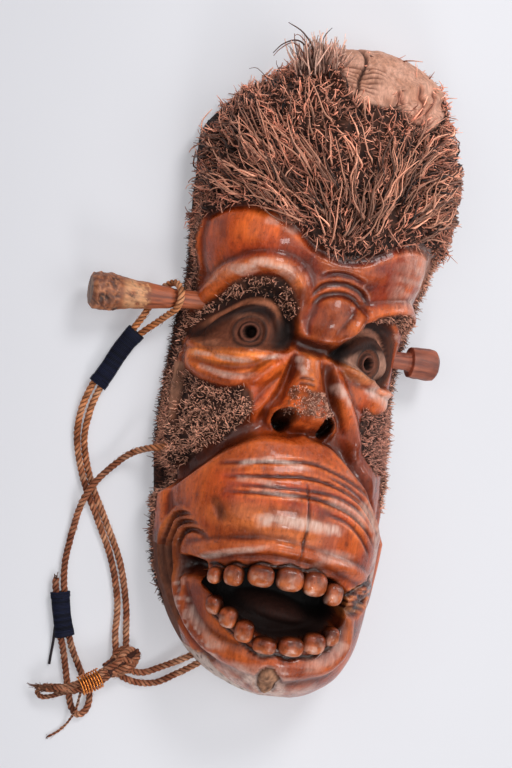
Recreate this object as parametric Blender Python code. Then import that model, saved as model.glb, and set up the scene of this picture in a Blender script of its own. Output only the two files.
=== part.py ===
"""A monkey head carved from a bamboo root, lying on its back, with two pegs and a looped cord.

The face looks up (+Z), the crown points to +Y and the long peg to -X. The floor is Z = 0.
"""

import math

import bmesh
import bpy
import numpy as np

MM = 0.001

# Driving sizes, in millimetres
HEAD_LENGTH = 450.0
HEAD_WIDTH = 174.0
HEAD_DEPTH = 92.0
WALL = 16.0
MOUTH_BACK_WALL = 10.5
TOOTH_RISE = 6.0
NOSTRIL_RADIUS = 6.2
PUPIL_RADIUS = 4.0
PEG_HEIGHT = 21.0
PEG_RADIUS = 11.8
PEG_TENON = 6.2
LEFT_PEG_OUT = 70.5
RIGHT_PEG_OUT = 26.3
TENON_IN = 24.0
CORD = 4.9
WHIPPING_WIDTH = 13.4
WHIPPING_HEIGHT = 8.8
BUNDLE_RADIUS = 5.6
WIRE = 1.1
GAP = 0.3

# How finely the surfaces are drawn
KEPT_SHARE = 0.104
CORD_SLACK = 0.4

# The face is drawn on a head of these sizes and stretched to the driving ones
DRAWN_LENGTH = 450.0
DRAWN_WIDTH = 174.0
DRAWN_DEPTH = 92.0
STRETCH = np.array((HEAD_WIDTH / DRAWN_WIDTH, HEAD_LENGTH / DRAWN_LENGTH, HEAD_DEPTH / DRAWN_DEPTH))

# Stations along the head: height on the face, half width, depth, centre
STATIONS = (
    ("chin tip", -222, 0, 22, 7),
    ("chin turn", -218, 26, 44, 7),
    ("chin", -209, 42, 64, 5),
    ("lower lip", -198, 53, 78, 3),
    ("mouth", -172, 67, 89, -2),
    ("upper lip", -140, 74, 92, -7),
    ("muzzle", -100, 79, 90, -11.5),
    ("muzzle top", -62, 82, 82, -15),
    ("nose", -25, 81, 72, -17),
    ("eyes", 15, 80, 66, -18),
    ("brow", 55, 81.5, 70, -15.5),
    ("forehead", 85, 86.5, 77, -15.5),
    ("hairline", 115, 90, 84, -15),
    ("hair", 145, 90.5, 86, -17.5),
    ("crown", 170, 80.5, 80, -14.5),
    ("crown turn", 195, 61.5, 68, -4.5),
    ("cut wood", 212, 49, 54, 2),
    ("top", 222, 33, 42, 1),
    ("tip", 228, 0, 24, 0),
)
SECTION_POWER = 2.35


def curve_through(points, steps=6):
    """A smooth line through the points."""
    p = np.asarray(points, float)
    if len(p) < 3:
        return p
    q = np.vstack([2 * p[0] - p[1], p, 2 * p[-1] - p[-2]])
    t = np.linspace(0, 1, steps, endpoint=False)[:, None]
    rows = []
    for i in range(len(p) - 1):
        a, b, c, d = q[i : i + 4]
        rows.append(
            0.5 * (2 * b + (c - a) * t + (2 * a - 5 * b + 4 * c - d) * t**2 + (3 * b - a - 3 * c + d) * t**3)
        )
    rows.append(p[-1:])
    return np.vstack(rows)


def between(x, xs, ys):
    """Values between the stations, without overshoot."""
    xs = np.asarray(xs, float)
    ys = np.asarray(ys, float)
    gap = np.diff(xs)
    rise = np.diff(ys) / gap
    slope = np.zeros(len(xs))
    for i in range(1, len(xs) - 1):
        if rise[i - 1] * rise[i] > 0:
            a = 2 * gap[i] + gap[i - 1]
            b = gap[i] + 2 * gap[i - 1]
            slope[i] = (a + b) / (a / rise[i - 1] + b / rise[i])
    slope[0] = rise[0]
    slope[-1] = rise[-1]
    i = np.clip(np.searchsorted(xs, x) - 1, 0, len(xs) - 2)
    t = (x - xs[i]) / gap[i]
    return (
        ys[i] * (2 * t**3 - 3 * t**2 + 1)
        + slope[i] * gap[i] * (t**3 - 2 * t**2 + t)
        + ys[i + 1] * (-2 * t**3 + 3 * t**2)
        + slope[i + 1] * gap[i] * (t**3 - t**2)
    )


def sizes_at(y):
    """Half width, depth and centre of the drawn head."""
    _, ys, widths, depths, centres = zip(*STATIONS)
    width = np.sqrt(np.maximum(between(y, ys, np.square(widths)), 0))
    return width, between(y, ys, depths), between(y, ys, centres)


def blank(rows, columns):
    """The plain head: its points, and the drawn distance round from the midline."""
    turn = np.linspace(math.pi, 0, 721)
    power = 2 / SECTION_POWER
    across = np.sign(np.cos(turn)) * np.abs(np.cos(turn)) ** power
    up = np.abs(np.sin(turn)) ** power
    width, depth, centre = sizes_at(rows)
    x = centre[:, None] + width[:, None] * across
    z = depth[:, None] * up
    arc = np.concatenate([np.zeros((len(rows), 1)), np.cumsum(np.hypot(np.diff(x), np.diff(z)), 1)], 1)
    arc -= arc[:, [360]]
    points = np.zeros((len(rows), len(columns), 3))
    round_ = np.zeros((len(rows), len(columns)))
    for i in range(len(rows)):
        reach = np.where(columns < 0, -arc[i, 0], arc[i, -1])
        round_[i] = columns * reach
        points[i, :, 0] = np.interp(round_[i], arc[i], x[i])
        points[i, :, 1] = rows[i]
        points[i, :, 2] = np.interp(round_[i], arc[i], z[i])
    return points * STRETCH, round_


def directions(points):
    """The way out of the surface at each point."""
    along = np.gradient(points, axis=1)
    up = np.gradient(points, axis=0)
    out = np.cross(along, up)
    out /= np.maximum(np.linalg.norm(out, axis=2, keepdims=True), 1e-9)
    return out


def smooth(t):
    t = np.clip(t, 0, 1)
    return t * t * (3 - 2 * t)


class Relief:
    """Heights over the plain head, at distance s round from the midline and height y."""

    def __init__(self, s, y):
        self.s = s
        self.y = y
        self.h = np.zeros_like(s)

    def offset(self, line, reach):
        """Which points are within reach of a line, how far from it they are and how far along it."""
        low = line.min(0) - reach
        high = line.max(0) + reach
        near = (self.s > low[0]) & (self.s < high[0]) & (self.y > low[1]) & (self.y < high[1])
        s = self.s[near]
        y = self.y[near]
        best = np.full(s.shape, 1e9)
        along = np.zeros(s.shape)
        step = np.hypot(*np.diff(line, axis=0).T)
        done = np.concatenate([[0], np.cumsum(step)]) / max(step.sum(), 1e-9)
        for k in range(len(line) - 1):
            d = line[k + 1] - line[k]
            t = np.clip(((s - line[k][0]) * d[0] + (y - line[k][1]) * d[1]) / max(d @ d, 1e-9), 0, 1)
            gap = np.hypot(s - line[k][0] - t * d[0], y - line[k][1] - t * d[1])
            closer = gap < best
            best[closer] = gap[closer]
            along[closer] = (done[k] + t * (done[k + 1] - done[k]))[closer]
        return near, best, along

    def stroke(self, points, height, width, sharp=2.0, taper=0.25):
        """A ridge along a line, or a groove when height is negative."""
        near, gap, along = self.offset(curve_through(points), width)
        shape = np.maximum(1 - (gap / width) ** 2, 0) ** sharp
        if taper:
            shape = shape * smooth(np.minimum(along, 1 - along) / taper + 0.15)
        self.h[near] += height * shape

    def mask(self, outline, soft):
        """One inside a closed outline, fading to nothing over soft, half on each side."""
        line = curve_through(list(outline) + [outline[0]], 5)
        near, gap, _ = self.offset(line, soft)
        inside = np.zeros(self.s.shape, bool)
        for a, b in zip(line[:-1], line[1:]):
            if a[1] == b[1]:
                continue
            cross = (self.y >= min(a[1], b[1])) & (self.y < max(a[1], b[1]))
            cross &= self.s < a[0] + (self.y - a[1]) * (b[0] - a[0]) / (b[1] - a[1])
            inside ^= cross
        value = inside.astype(float)
        value[near] = smooth(0.5 + np.where(inside[near], gap, -gap) / soft)
        return value

    def turned(self, centre, radii, turn):
        """Position in an oval's own directions, one on its outline."""
        c = math.cos(math.radians(turn))
        k = math.sin(math.radians(turn))
        ds = self.s - centre[0]
        dy = self.y - centre[1]
        return (ds * c + dy * k) / radii[0], (dy * c - ds * k) / radii[1]

    def oval(self, centre, radii, turn=0.0, power=1.5):
        """One at the centre, falling to nothing on the outline."""
        a, b = self.turned(centre, radii, turn)
        return np.maximum(1 - a * a - b * b, 0) ** power

    def dome(self, centre, radii, height, turn=0.0, power=1.5):
        self.h += height * self.oval(centre, radii, turn, power)

    def ring(self, centre, radii, height, width, turn=0.0):
        """A raised ring, or a cut one when height is negative. Width is across the ring."""
        a, b = self.turned(centre, radii, turn)
        gap = (np.hypot(a, b) - 1) * min(radii)
        self.h += height * np.maximum(1 - (gap / width) ** 2, 0) ** 2

    def settle(self, mask, level):
        """Brings the surface to a level inside a mask."""
        self.h = self.h * (1 - mask) + level * mask


HAIRLINE = ((-175, 78), (-125, 80), (-108, 90), (-90, 99), (-70, 103), (-50, 101), (-32, 93), (-18, 84),
            (0, 80),
            (14, 82), (28, 89), (42, 97), (60, 100), (90, 98), (130, 92), (175, 90))
MUZZLE_TOP = ((-150, -104), (-130, -99), (-110, -93), (-90, -84), (-75, -74), (-60, -62), (-45, -52),
              (-30, -44),
              (-15, -40), (5, -40), (18, -43), (30, -51), (42, -62), (52, -73), (62, -85), (75, -96),
              (100, -104),
              (150, -106))
LEFT_SOCKET = ((-104, 10), (-100, 22), (-86, 35), (-68, 46), (-48, 51), (-30, 46), (-20, 34), (-15, 20),
               (-22, 12),
               (-45, 8), (-75, 5))
RIGHT_SOCKET = ((13, 14), (20, 26), (30, 37), (46, 44), (62, 42), (74, 30), (80, 14), (74, 3), (58, 1),
                (42, 5),
                (26, 11))
LEFT_PUPIL = (-46.5, 20)
RIGHT_PUPIL = (44, 15)
LEFT_NOSTRIL = (-15.5, -31.5)
RIGHT_NOSTRIL = (14.5, -31.5)
# Wrinkles over the muzzle: depth, then the line
WRINKLES = (
    (1.3, ((-58, -69), (-38, -64.5), (-20, -61), (0, -58), (15, -60), (35, -66.5), (50, -76), (62, -88))),
    (1.9, ((-52, -76), (-36, -73), (-20, -70.5), (0, -68), (20, -70.5), (38, -77), (52, -88), (64, -99))),
    (1.2, ((-46, -80.5), (-30, -78.5), (-15, -77), (10, -76), (26, -78), (40, -84), (54, -95))),
    (2.0, ((-50, -85), (-34, -83), (-20, -81.5), (0, -80), (14, -81.5), (30, -85.5), (46, -94), (60, -106))),
    (1.2, ((14, -64), (30, -69.5), (46, -79), (60, -92))),
    (1.2, ((12, -88), (28, -91.5), (42, -100), (54, -111))),
)
# Teeth: place, half width and half height
UPPER_TEETH = ((-54, -139, 4.5, 5.5), (-41.5, -136.5, 6.6, 6.8), (-25, -133.5, 8.6, 7.2),
               (-6.8, -132.5, 9.2, 8), (10, -133, 8.2, 8.2), (23.5, -138, 6.4, 7.6))
LOWER_TEETH = ((-54, -158.5, 5, 6.5), (-43.5, -164.5, 6, 7), (-32.5, -171, 6.3, 7.6),
               (-19, -177.5, 7.8, 5.5), (-2, -175.5, 8.6, 6.5), (13.5, -171.5, 7.8, 7.2),
               (26, -165.5, 5, 6.5))
MOUTH = ((-66, -142), (-50, -138), (-34, -133), (-15, -130), (5, -130), (20, -132), (34, -136),
         (38, -145), (34, -157),
         (24, -166), (8, -172), (-12, -175), (-28, -169), (-42, -161), (-54, -152), (-64, -147))


def carve_hair(r):
    hair = r.mask(list(HAIRLINE) + [(175, 300), (-175, 300)], 5)
    # The skin lies lower than the rootlets of the hair and of the strips down both sides
    sides = np.maximum(smooth((-98 - r.s) / 9), smooth((r.s - 100) / 9)) * smooth((r.y + 175) / 30)
    r.h -= 4.5 * (1 - hair) * (1 - sides)
    # Locks run down to the left on one side and down to the right on the other
    lean = np.where(r.s < 5, 0.62, -0.75) * (r.s - 5)
    r.h += hair * 1.8 * np.sin((r.y + lean) * 2 * math.pi / 21) * smooth((215 - r.y) / 20)
    r.stroke([(s, y - 2) for s, y in HAIRLINE[2:-2]], -2.4, 5, 1.2, 0.1)


def carve_brow(r):
    # Forehead
    r.dome((-72, 80), (54, 32), 10, power=1.2)
    r.dome((50, 74), (44, 26), 5, power=1.2)
    r.dome((10, 72), (30, 10), 2.5)
    # Ridges over the eyes
    left = [(-108, 30), (-96, 37), (-84, 46), (-70, 56), (-56, 64.5), (-44, 67), (-32, 65), (-23, 59),
            (-18, 48)]
    r.stroke(left + [(-16, 34)], 6.5, 9, 1.6)
    r.stroke([(14, 16), (20, 30), (27, 43), (38, 48), (52, 52), (68, 54), (86, 50), (104, 40)], 6.5, 9, 1.6)


def carve_eyes(r):
    r.settle(r.mask(LEFT_SOCKET, 9), -4 - 11 * smooth((r.s + 98) / 34))
    r.settle(r.mask(RIGHT_SOCKET, 8), -4 - 9 * smooth((84 - r.s) / 26))
    # Eyeballs
    r.dome((-50, 19), (33, 19), 13, 6, 0.8)
    r.dome((45, 15), (26, 16), 10, -4, 0.8)
    # Upper lids
    r.stroke([(-90, 8), (-78, 17), (-66, 27), (-55, 36), (-44, 39.5), (-34, 36), (-27, 27),
              (-23, 14)], 5, 5, 1.4)
    r.stroke([(20, 13), (28, 22), (38, 29), (49, 30.5), (58, 25), (63, 14), (66, 2)], 4.5, 4.5, 1.4)
    r.stroke([(52, 38), (66, 34), (72, 22), (74, 8)], 3.5, 4.5, 1.4)
    # Irises
    for centre, size, turn in ((LEFT_PUPIL, 1.0, 0), (RIGHT_PUPIL, 0.95, -15)):
        r.ring(centre, (11.5 * size, 10.5 * size), 2.0, 2.6, turn)
        r.ring(centre, (8.6 * size, 7.8 * size), -1.6, 1.8, turn)
        r.ring(centre, (6.2 * size, 5.6 * size), 1.2, 1.8, turn)
        r.settle(np.clip(2.2 * r.oval(centre, (4.6 * size, 4.0 * size), turn, 1.0), 0, 1), -14)
    # Lower lids and bags
    r.dome((-62, -1), (44, 17), 7, 4, 0.8)
    r.stroke([(-104, 6), (-80, 7.5), (-50, 9.5), (-28, 11.5), (-14, 14)], 5, 4.5, 1.5)
    r.stroke([(-96, -6), (-76, -13), (-56, -14.5), (-40, -11), (-28, -2), (-20, 8)], 3.0, 5, 1.5)
    r.stroke([(-90, -2), (-70, -5), (-50, -4), (-32, 3)], -1.6, 3.5, 1.5)
    r.stroke([(18, 12), (34, 8), (50, 3), (68, -1), (84, -2)], 4.5, 4.5, 1.5)
    r.dome((56, -6), (30, 12), 4, -6, 1.0)


def carve_frown(r):
    r.dome((10, 36), (19, 19), 6.5, power=1.0)
    r.stroke([(-11, 44), (-6, 51), (2, 55), (10, 56), (19, 54), (27, 48), (31, 41)], -3.0, 3.4, 1.5)
    r.stroke([(-13, 50), (-6, 58), (3, 61), (11, 61.5), (21, 59), (30, 52)], -2.6, 3.2, 1.5)
    r.stroke([(-8, 65), (2, 68), (12, 68), (22, 65)], -1.8, 3.0, 1.5)
    r.stroke([(-16, 26), (-12, 20), (0, 17.5), (10, 18), (16, 22)], -6, 6, 1.5)
    r.stroke([(15, 16), (21, 30), (28, 46)], 2.5, 2.6, 1.5)


def carve_nose(r):
    top = 14.0
    bottom = -38.0
    fall = np.clip((top - r.y) / (top - bottom), 0, 1)
    half = 9 + 14 * fall**1.4
    centre = 2.5 * fall - 3
    shape = np.maximum(1 - ((r.s - centre) / half) ** 2, 0) ** 0.75
    ends = smooth((top + 2 - r.y) / 6) * smooth((r.y - bottom) / 7)
    r.h += shape * (3 + 19 * fall**1.15) * ends
    # Ball, wings and the rims of the nostrils
    r.dome((0, -20), (15, 12), 2.5, power=1.0)
    for nostril, wing in ((LEFT_NOSTRIL, (-19, -27)), (RIGHT_NOSTRIL, (18, -27))):
        r.dome(wing, (11, 10), 4)
        r.ring(nostril, (8.5, 7.5), 1.5, 2.6)
    r.stroke([(-10, 13), (-15, -4), (-22, -20), (-29, -30), (-31, -39)], -4.5, 5, 1.5)
    r.stroke([(11, 13), (15, -4), (20, -18), (26, -30), (28, -40)], -4.5, 5, 1.5)
    for cut in (-3.5, -7.2):
        r.stroke([(-10, cut - 0.6), (-4, cut + 0.4), (2, cut - 0.2)], -1.6, 1.4, 1.2)
    # Folds from the nose over the cheeks
    r.stroke([(-18, 12), (-26, 2), (-34, -8), (-41, -18), (-47, -29), (-56, -40)], 4, 7, 1.5)
    r.stroke([(16, 10), (21, -1), (28, -13), (35, -25), (40, -38), (44, -50)], 6, 7.5, 1.5)
    r.dome((54, -62), (20, 18), 4)


def carve_muzzle(r):
    left = [(-132, -90), (-108, -84), (-88, -74), (-72, -63), (-57, -51), (-42, -42), (-28, -37), (0, -36)]
    r.stroke(left, -9, 11, 1.5, 0.1)
    r.stroke([(0, -36), (20, -38), (33, -48), (45, -60), (56, -72), (68, -84), (84, -92)], -6, 8, 1.5, 0.1)
    muzzle = r.mask(list(MUZZLE_TOP) + [(150, -300), (-150, -300)], 7)
    r.h += muzzle * (5 + 8 * r.oval((-8, -92), (96, 50), 0, 1.0))
    for depth, line in WRINKLES:
        r.stroke(line, -depth, 1.9, 1.3)
    r.dome((-14, -99), (34, 9), 1.8, 2)
    r.stroke([(-1, -70), (1, -80), (1, -94), (-1, -108), (-2, -124)], -1.2, 1.1, 1.0)
    r.dome((-54, -97), (5, 11), -1.0, 35)


# From one fold round the left corner of the mouth to the next
FOLD_STEP = 7.0


def fold(out):
    """The line of a fold round the left corner of the mouth, so far outside the first one."""
    top = [(-61 - 0.8 * out, -118 + 0.7 * out), (-66 - 0.9 * out, -114.5 + 0.7 * out),
           (-76 - 0.9 * out, -114 + 0.5 * out)]
    turn = [(-85 - 0.8 * out, -118.5 + 0.5 * out), (-90.5 - out, -127), (-90 - out, -145)]
    return top + turn + [(-85 - 1.15 * out, -162)]


def carve_lips(r):
    upper = [(-92, -131), (-74, -127), (-54, -121), (-35, -116.5), (-16, -114), (8, -116.5), (34, -121)]
    r.stroke(upper + [(56, -127), (72, -134)], 3.4, 6, 1.5)
    r.stroke([(-70, -131), (-50, -126), (-30, -121.5), (-10, -120), (12, -121.5),
              (34, -126.5)], -1.6, 3.0, 1.5)
    # Folds round the left corner of the mouth
    for k in range(3):
        out = FOLD_STEP * k
        r.stroke(fold(out), -4.4 + 0.3 * k, 2.8, 1.4)
        r.stroke(fold(out + FOLD_STEP / 2), 2.6 - 0.3 * k, 3.2, 1.4)
    # Corners of the mouth
    r.stroke([(-90, -141), (-78, -139), (-62, -140)], -13, 8, 1.2, 0.2)
    r.stroke([(36, -140), (50, -134), (62, -129), (76, -125)], -3.4, 3, 1.2)
    r.stroke([(38, -146), (50, -149), (62, -145), (76, -141)], -5, 5, 1.2)
    # Lower lip and chin
    lower = [(-91, -142), (-89, -156), (-80, -170), (-66, -182), (-46, -189), (-22, -191), (4, -190),
             (24, -186)]
    r.stroke(lower + [(38, -176), (44, -162), (42, -150)], 5.5, 9, 1.4, 0.15)
    r.stroke([(-100, -150), (-98, -166), (-88, -180), (-72, -193), (-50, -200)], -5, 8, 1.5)
    r.dome((-10, -204), (36, 16), 4)
    r.dome((-15, -204), (8, 12), 2.5)


def carve(s, y):
    """The whole relief of the head, in drawn millimetres."""
    r = Relief(s, y)
    carve_hair(r)
    carve_brow(r)
    carve_eyes(r)
    carve_frown(r)
    carve_nose(r)
    carve_muzzle(r)
    carve_lips(r)
    return r


def side_at(y, z, side):
    """Where the plain head ends, left (-1) or right (1), at drawn heights on the face and over the floor."""
    width, depth, centre = (value[0] for value in sizes_at(np.array([y])))
    out = (1 - (z / depth) ** SECTION_POWER) ** (1 / SECTION_POWER)
    return (centre + side * width * out) * STRETCH[0]


# Pegs: side, where it enters the head, how far it stands out, its lean up the face for each millimetre out,
# and its profile from the tip as shares of how far it stands out and of the peg's radius
LEFT_PEG = (-1, 34.1, LEFT_PEG_OUT, -0.1016,
            ((1.0, 0.76), (0.972, 0.97), (0.865, 1.0), (0.72, 0.95), (0.61, 0.82), (0.465, 0.76),
             (0.336, 0.66)))
LEFT_NECK = 0.235
RIGHT_PEG = (1, 22.6, RIGHT_PEG_OUT, 0.0604, ((1.0, 0.68), (0.92, 0.9), (0.77, 0.95), (0.385, 0.92),
                                              (0.246, 0.9)))
RIGHT_NECK = 0.23


def peg_point(row, out):
    """A point on a peg's axis, so many millimetres outside the head."""
    side, enters, _, lean, _ = row
    x = side_at(enters, PEG_HEIGHT / STRETCH[2], side) + side * out
    return x, enters * STRETCH[1] + lean * out, PEG_HEIGHT


def middle():
    """The shift that puts the middle of the head and pegs at the origin."""
    left = peg_point(LEFT_PEG, LEFT_PEG_OUT)[0]
    right = peg_point(RIGHT_PEG, RIGHT_PEG_OUT)[0]
    return -(left + right) / 2, -(STATIONS[0][1] + STATIONS[-1][1]) / 2 * STRETCH[1], 0.0


SHIFT = middle()


def clear_scene():
    for obj in list(bpy.data.objects):
        bpy.data.objects.remove(obj, do_unlink=True)


def material(name, colour, roughness, metallic=0.0):
    made = bpy.data.materials.new(name)
    made.use_nodes = True
    shader = made.node_tree.nodes["Principled BSDF"]
    shader.inputs["Base Color"].default_value = (*colour, 1)
    shader.inputs["Roughness"].default_value = roughness
    shader.inputs["Metallic"].default_value = metallic
    return made


def placed(point):
    return tuple((point[k] + SHIFT[k]) * MM for k in range(3))


def solid(name, points, faces, look=None):
    """A mesh object from points in face millimetres. Without a look it is a helper."""
    mesh = bpy.data.meshes.new(name)
    mesh.from_pydata([placed(p) for p in points], [], [tuple(int(i) for i in f) for f in faces])
    shape = bmesh.new()
    shape.from_mesh(mesh)
    bmesh.ops.remove_doubles(shape, verts=shape.verts, dist=1e-6)
    bmesh.ops.recalc_face_normals(shape, faces=shape.faces)
    shape.to_mesh(mesh)
    shape.free()
    obj = bpy.data.objects.new(name, mesh)
    bpy.context.collection.objects.link(obj)
    if look:
        mesh.materials.append(look)
    else:
        obj.hide_render = True
        obj.display_type = "WIRE"
    return obj


def loft(rings):
    """Points and faces of a closed skin over rings of equal length, with a flat face at each end."""
    rings = [np.asarray(ring, float) for ring in rings]
    n = len(rings[0])
    faces = []
    for i in range(len(rings) - 1):
        for j in range(n):
            a = i * n + j
            b = i * n + (j + 1) % n
            faces.append((a, b, b + n, a + n))
    faces.append(tuple(range(n))[::-1])
    faces.append(tuple(range((len(rings) - 1) * n, len(rings) * n)))
    return np.vstack(rings), faces


def sweep(path, sizes, sides=12):
    """A tube along a path. Sizes are half width and half height, one pair or one pair for each point."""
    path = np.asarray(path, float)
    sizes = np.broadcast_to(np.asarray(sizes, float), (len(path), 2))
    angles = np.linspace(0, 2 * math.pi, sides, endpoint=False)
    rings = []
    for i, p in enumerate(path):
        ahead = path[min(i + 1, len(path) - 1)] - path[max(i - 1, 0)]
        ahead = ahead / np.linalg.norm(ahead)
        side = np.cross(ahead, (0, 0, 1))
        side = side / np.linalg.norm(side)
        up = np.cross(side, ahead)
        rings.append([p + side * math.cos(a) * sizes[i][0] + up * math.sin(a) * sizes[i][1] for a in angles])
    return loft(rings)


def resample(path, gap):
    """Points along a path about gap apart."""
    path = np.asarray(path, float)
    done = np.concatenate([[0], np.cumsum(np.linalg.norm(np.diff(path, axis=0), axis=1))])
    count = max(int(round(done[-1] / gap)), 2)
    at = np.linspace(0, done[-1], count + 1)
    return np.stack([np.interp(at, done, path[:, k]) for k in range(3)], 1)


def extended(path, more):
    """A path lengthened straight on at both ends."""
    first = path[0] - path[1]
    last = path[-1] - path[-2]
    before = path[0] + first / np.linalg.norm(first) * more
    after = path[-1] + last / np.linalg.norm(last) * more
    return np.vstack([before, path, after])


def thinned(path, slack, longest):
    """The fewest points of a path that stay within slack of it and no further apart than longest."""
    keep = {0, len(path) - 1}
    spans = [(0, len(path) - 1)]
    while spans:
        a, b = spans.pop()
        if b - a < 2:
            continue
        line = path[b] - path[a]
        reach = np.linalg.norm(line)
        rest = path[a + 1 : b] - path[a]
        along = np.clip(rest @ line / max(reach**2, 1e-9), 0, 1)
        away = np.linalg.norm(rest - along[:, None] * line, axis=1)
        if away.max() > slack or reach > longest:
            split = a + 1 + int(away.argmax()) if away.max() > slack else (a + b) // 2
            keep.add(split)
            spans += [(a, split), (split, b)]
    return path[sorted(keep)]


def offset_route(axis, sideways):
    """A line beside another one, to its left when sideways is positive."""
    axis = np.asarray(axis, float)
    ahead = np.gradient(axis, axis=0)
    left = np.stack([-ahead[:, 1], ahead[:, 0], np.zeros(len(axis))], 1)
    left /= np.linalg.norm(left, axis=1, keepdims=True)
    return [tuple(p) for p in axis + left * sideways]


def cord(name, route, diameter, look):
    """A cord along a smooth line through its route, as a curve with a round bevel."""
    path = thinned(curve_through(route, 12), CORD_SLACK, 6 * diameter)
    data = bpy.data.curves.new(name, "CURVE")
    data.dimensions = "3D"
    data.bevel_depth = diameter / 2 * MM
    data.bevel_resolution = 2
    data.use_fill_caps = True
    line = data.splines.new("POLY")
    line.points.add(len(path) - 1)
    for point, p in zip(line.points, path):
        point.co = (*placed(p), 1)
    data.materials.append(look)
    obj = bpy.data.objects.new(name, data)
    bpy.context.collection.objects.link(obj)
    return path


def cut(obj, cutter, operation="DIFFERENCE"):
    step = obj.modifiers.new(cutter.name, "BOOLEAN")
    step.operation = operation
    step.solver = "MANIFOLD"
    step.object = cutter


def thin(obj, share):
    """Fewer and larger triangles where the surface is flat."""
    step = obj.modifiers.new("thin", "DECIMATE")
    step.ratio = share


def bake(obj):
    """Applies the modifiers and takes off any flap of triangles left hanging by one edge."""
    graph = bpy.context.evaluated_depsgraph_get()
    mesh = bpy.data.meshes.new_from_object(obj.evaluated_get(graph))
    shape = bmesh.new()
    shape.from_mesh(mesh)
    flaps = [face for face in shape.faces if any(edge.is_boundary for edge in face.edges)]
    bmesh.ops.delete(shape, geom=flaps, context="FACES")
    shape.to_mesh(mesh)
    shape.free()
    obj.modifiers.clear()
    obj.data = mesh


def head_rows(count):
    """Heights of the rows, closer together near the chin and the crown."""
    low = STATIONS[0][1] + 0.15
    high = STATIONS[-1][1] - 0.15
    t = np.linspace(0, 1, count)
    return low + (high - low) * (t - 0.8 * np.sin(2 * math.pi * t) / (2 * math.pi))


def head_skin(look):
    """The carved head without its holes, on a flat back."""
    columns = np.linspace(-1, 1, 131)
    rows = head_rows(190)
    points, s = blank(rows, columns)
    y = np.broadcast_to(rows[:, None], s.shape)
    relief = carve(s, y).h * STRETCH[2]
    edge = smooth((1 - np.abs(columns)) / 0.06)[None, :]
    points = points + directions(points) * (relief * edge)[:, :, None]
    points[:, 0, 2] = 0
    points[:, -1, 2] = 0
    points[:, :, 2] = np.maximum(points[:, :, 2], 0)
    return solid("head", *loft(points[:, ::-1]), look)


def spot(place, lift=0.0):
    """A point over the plain head at (distance round, height on the face), lifted in millimetres."""
    s, y = place
    points, round_ = blank(np.array([y - 1.0, y, y + 1.0]), np.linspace(-1, 1, 241))
    out = directions(points)[1]
    return np.array([np.interp(s, round_[1], points[1, :, k] + lift * out[:, k]) for k in range(3)])


# The hollow in the back: its two ends on the face, and how deep it is along the head
HOLLOW_ENDS = (-192, 90)
HOLLOW_DEPTHS = ((-195, 20), (-150, 27), (-110, 30), (-60, 42), (0, 38), (50, 40), (95, 30))


def hollow_depth(y):
    return between(np.array([y]), *zip(*HOLLOW_DEPTHS))[0]


def hollow_cutter():
    """The trough in the back, with the wall left round it."""
    low, high = HOLLOW_ENDS
    below_floor = -6.0
    rings = []
    for t in np.linspace(-1, 1, 15):
        t = math.sin(t * math.pi / 2) * 0.995
        y = (low + high) / 2 + t * (high - low) / 2
        width, _, centre = (value[0] for value in sizes_at(np.array([y])))
        end = (1 - abs(t) ** 5) ** 0.5
        half = (width * STRETCH[0] - WALL) * (0.25 + 0.75 * end)
        up = hollow_depth(y) * STRETCH[2] * (0.2 + 0.8 * end)
        turn = np.linspace(math.pi, 0, 14)
        across = centre * STRETCH[0] + half * np.sign(np.cos(turn)) * np.abs(np.cos(turn)) ** 0.85
        above = up * np.abs(np.sin(turn)) ** 0.85
        ring = [(x, y * STRETCH[1], z) for x, z in zip(across, above)]
        first = (ring[0][0], ring[0][1], below_floor)
        last = (ring[-1][0], ring[-1][1], below_floor)
        rings.append([first] + ring + [last])
    return solid("back_cutter", *loft(rings))


def mouth_cutter():
    """The blind mouth, cut straight down from the lips, with a wall left behind it."""
    line = curve_through(list(MOUTH) + [MOUTH[0]], 2)[:-1]
    flat = np.array([spot(place)[:2] for place in line])
    centre = flat.mean(axis=0)
    floor = hollow_depth(-150.0) * STRETCH[2] + MOUTH_BACK_WALL
    over_lips = HEAD_DEPTH + 38
    rings = []
    for z, scale in ((floor, 0.72), (floor + 7, 0.93), (floor + 25, 1.0), (over_lips, 1.0)):
        ring = centre + (flat - centre) * scale
        rings.append([(x, y, z) for x, y in ring])
    return solid("mouth_cutter", *loft(rings))


def rod(name, start, end, radius, sides=12):
    """A round cutter."""
    return solid(name, *sweep([start, end], (radius, radius), sides))


# How square the teeth are: one is round, and less is squarer
TOOTH_POWER = 0.65


def tooth(name, place, half_width, half_height, lift):
    """A rounded block that stands out of the lip."""
    shape = bmesh.new()
    bmesh.ops.create_icosphere(shape, subdivisions=2, radius=1.0)
    shape.verts.ensure_lookup_table()
    at = spot(place, lift)
    out = spot(place, lift + 10) - at
    out /= np.linalg.norm(out)
    up = np.array((0, 1.0, 0)) - out * out[1]
    up /= np.linalg.norm(up)
    side = np.cross(up, out)
    points = []
    for v in shape.verts:
        x, z, rise = (math.copysign(abs(k) ** TOOTH_POWER, k) for k in v.co)
        across = side * x * half_width * STRETCH[0]
        along = up * z * half_height * STRETCH[1]
        points.append(at + across + along + out * rise * TOOTH_RISE)
    faces = [[v.index for v in f.verts] for f in shape.faces]
    shape.free()
    return solid(name, points, faces)


# Tips of the rootlet tuft behind the crown, on the drawn head
TUFT_TIPS = ((-72, 208, 40), (-66, 219, 47), (-55, 227, 50), (-43, 228, 52), (-33, 224, 55))


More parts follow.
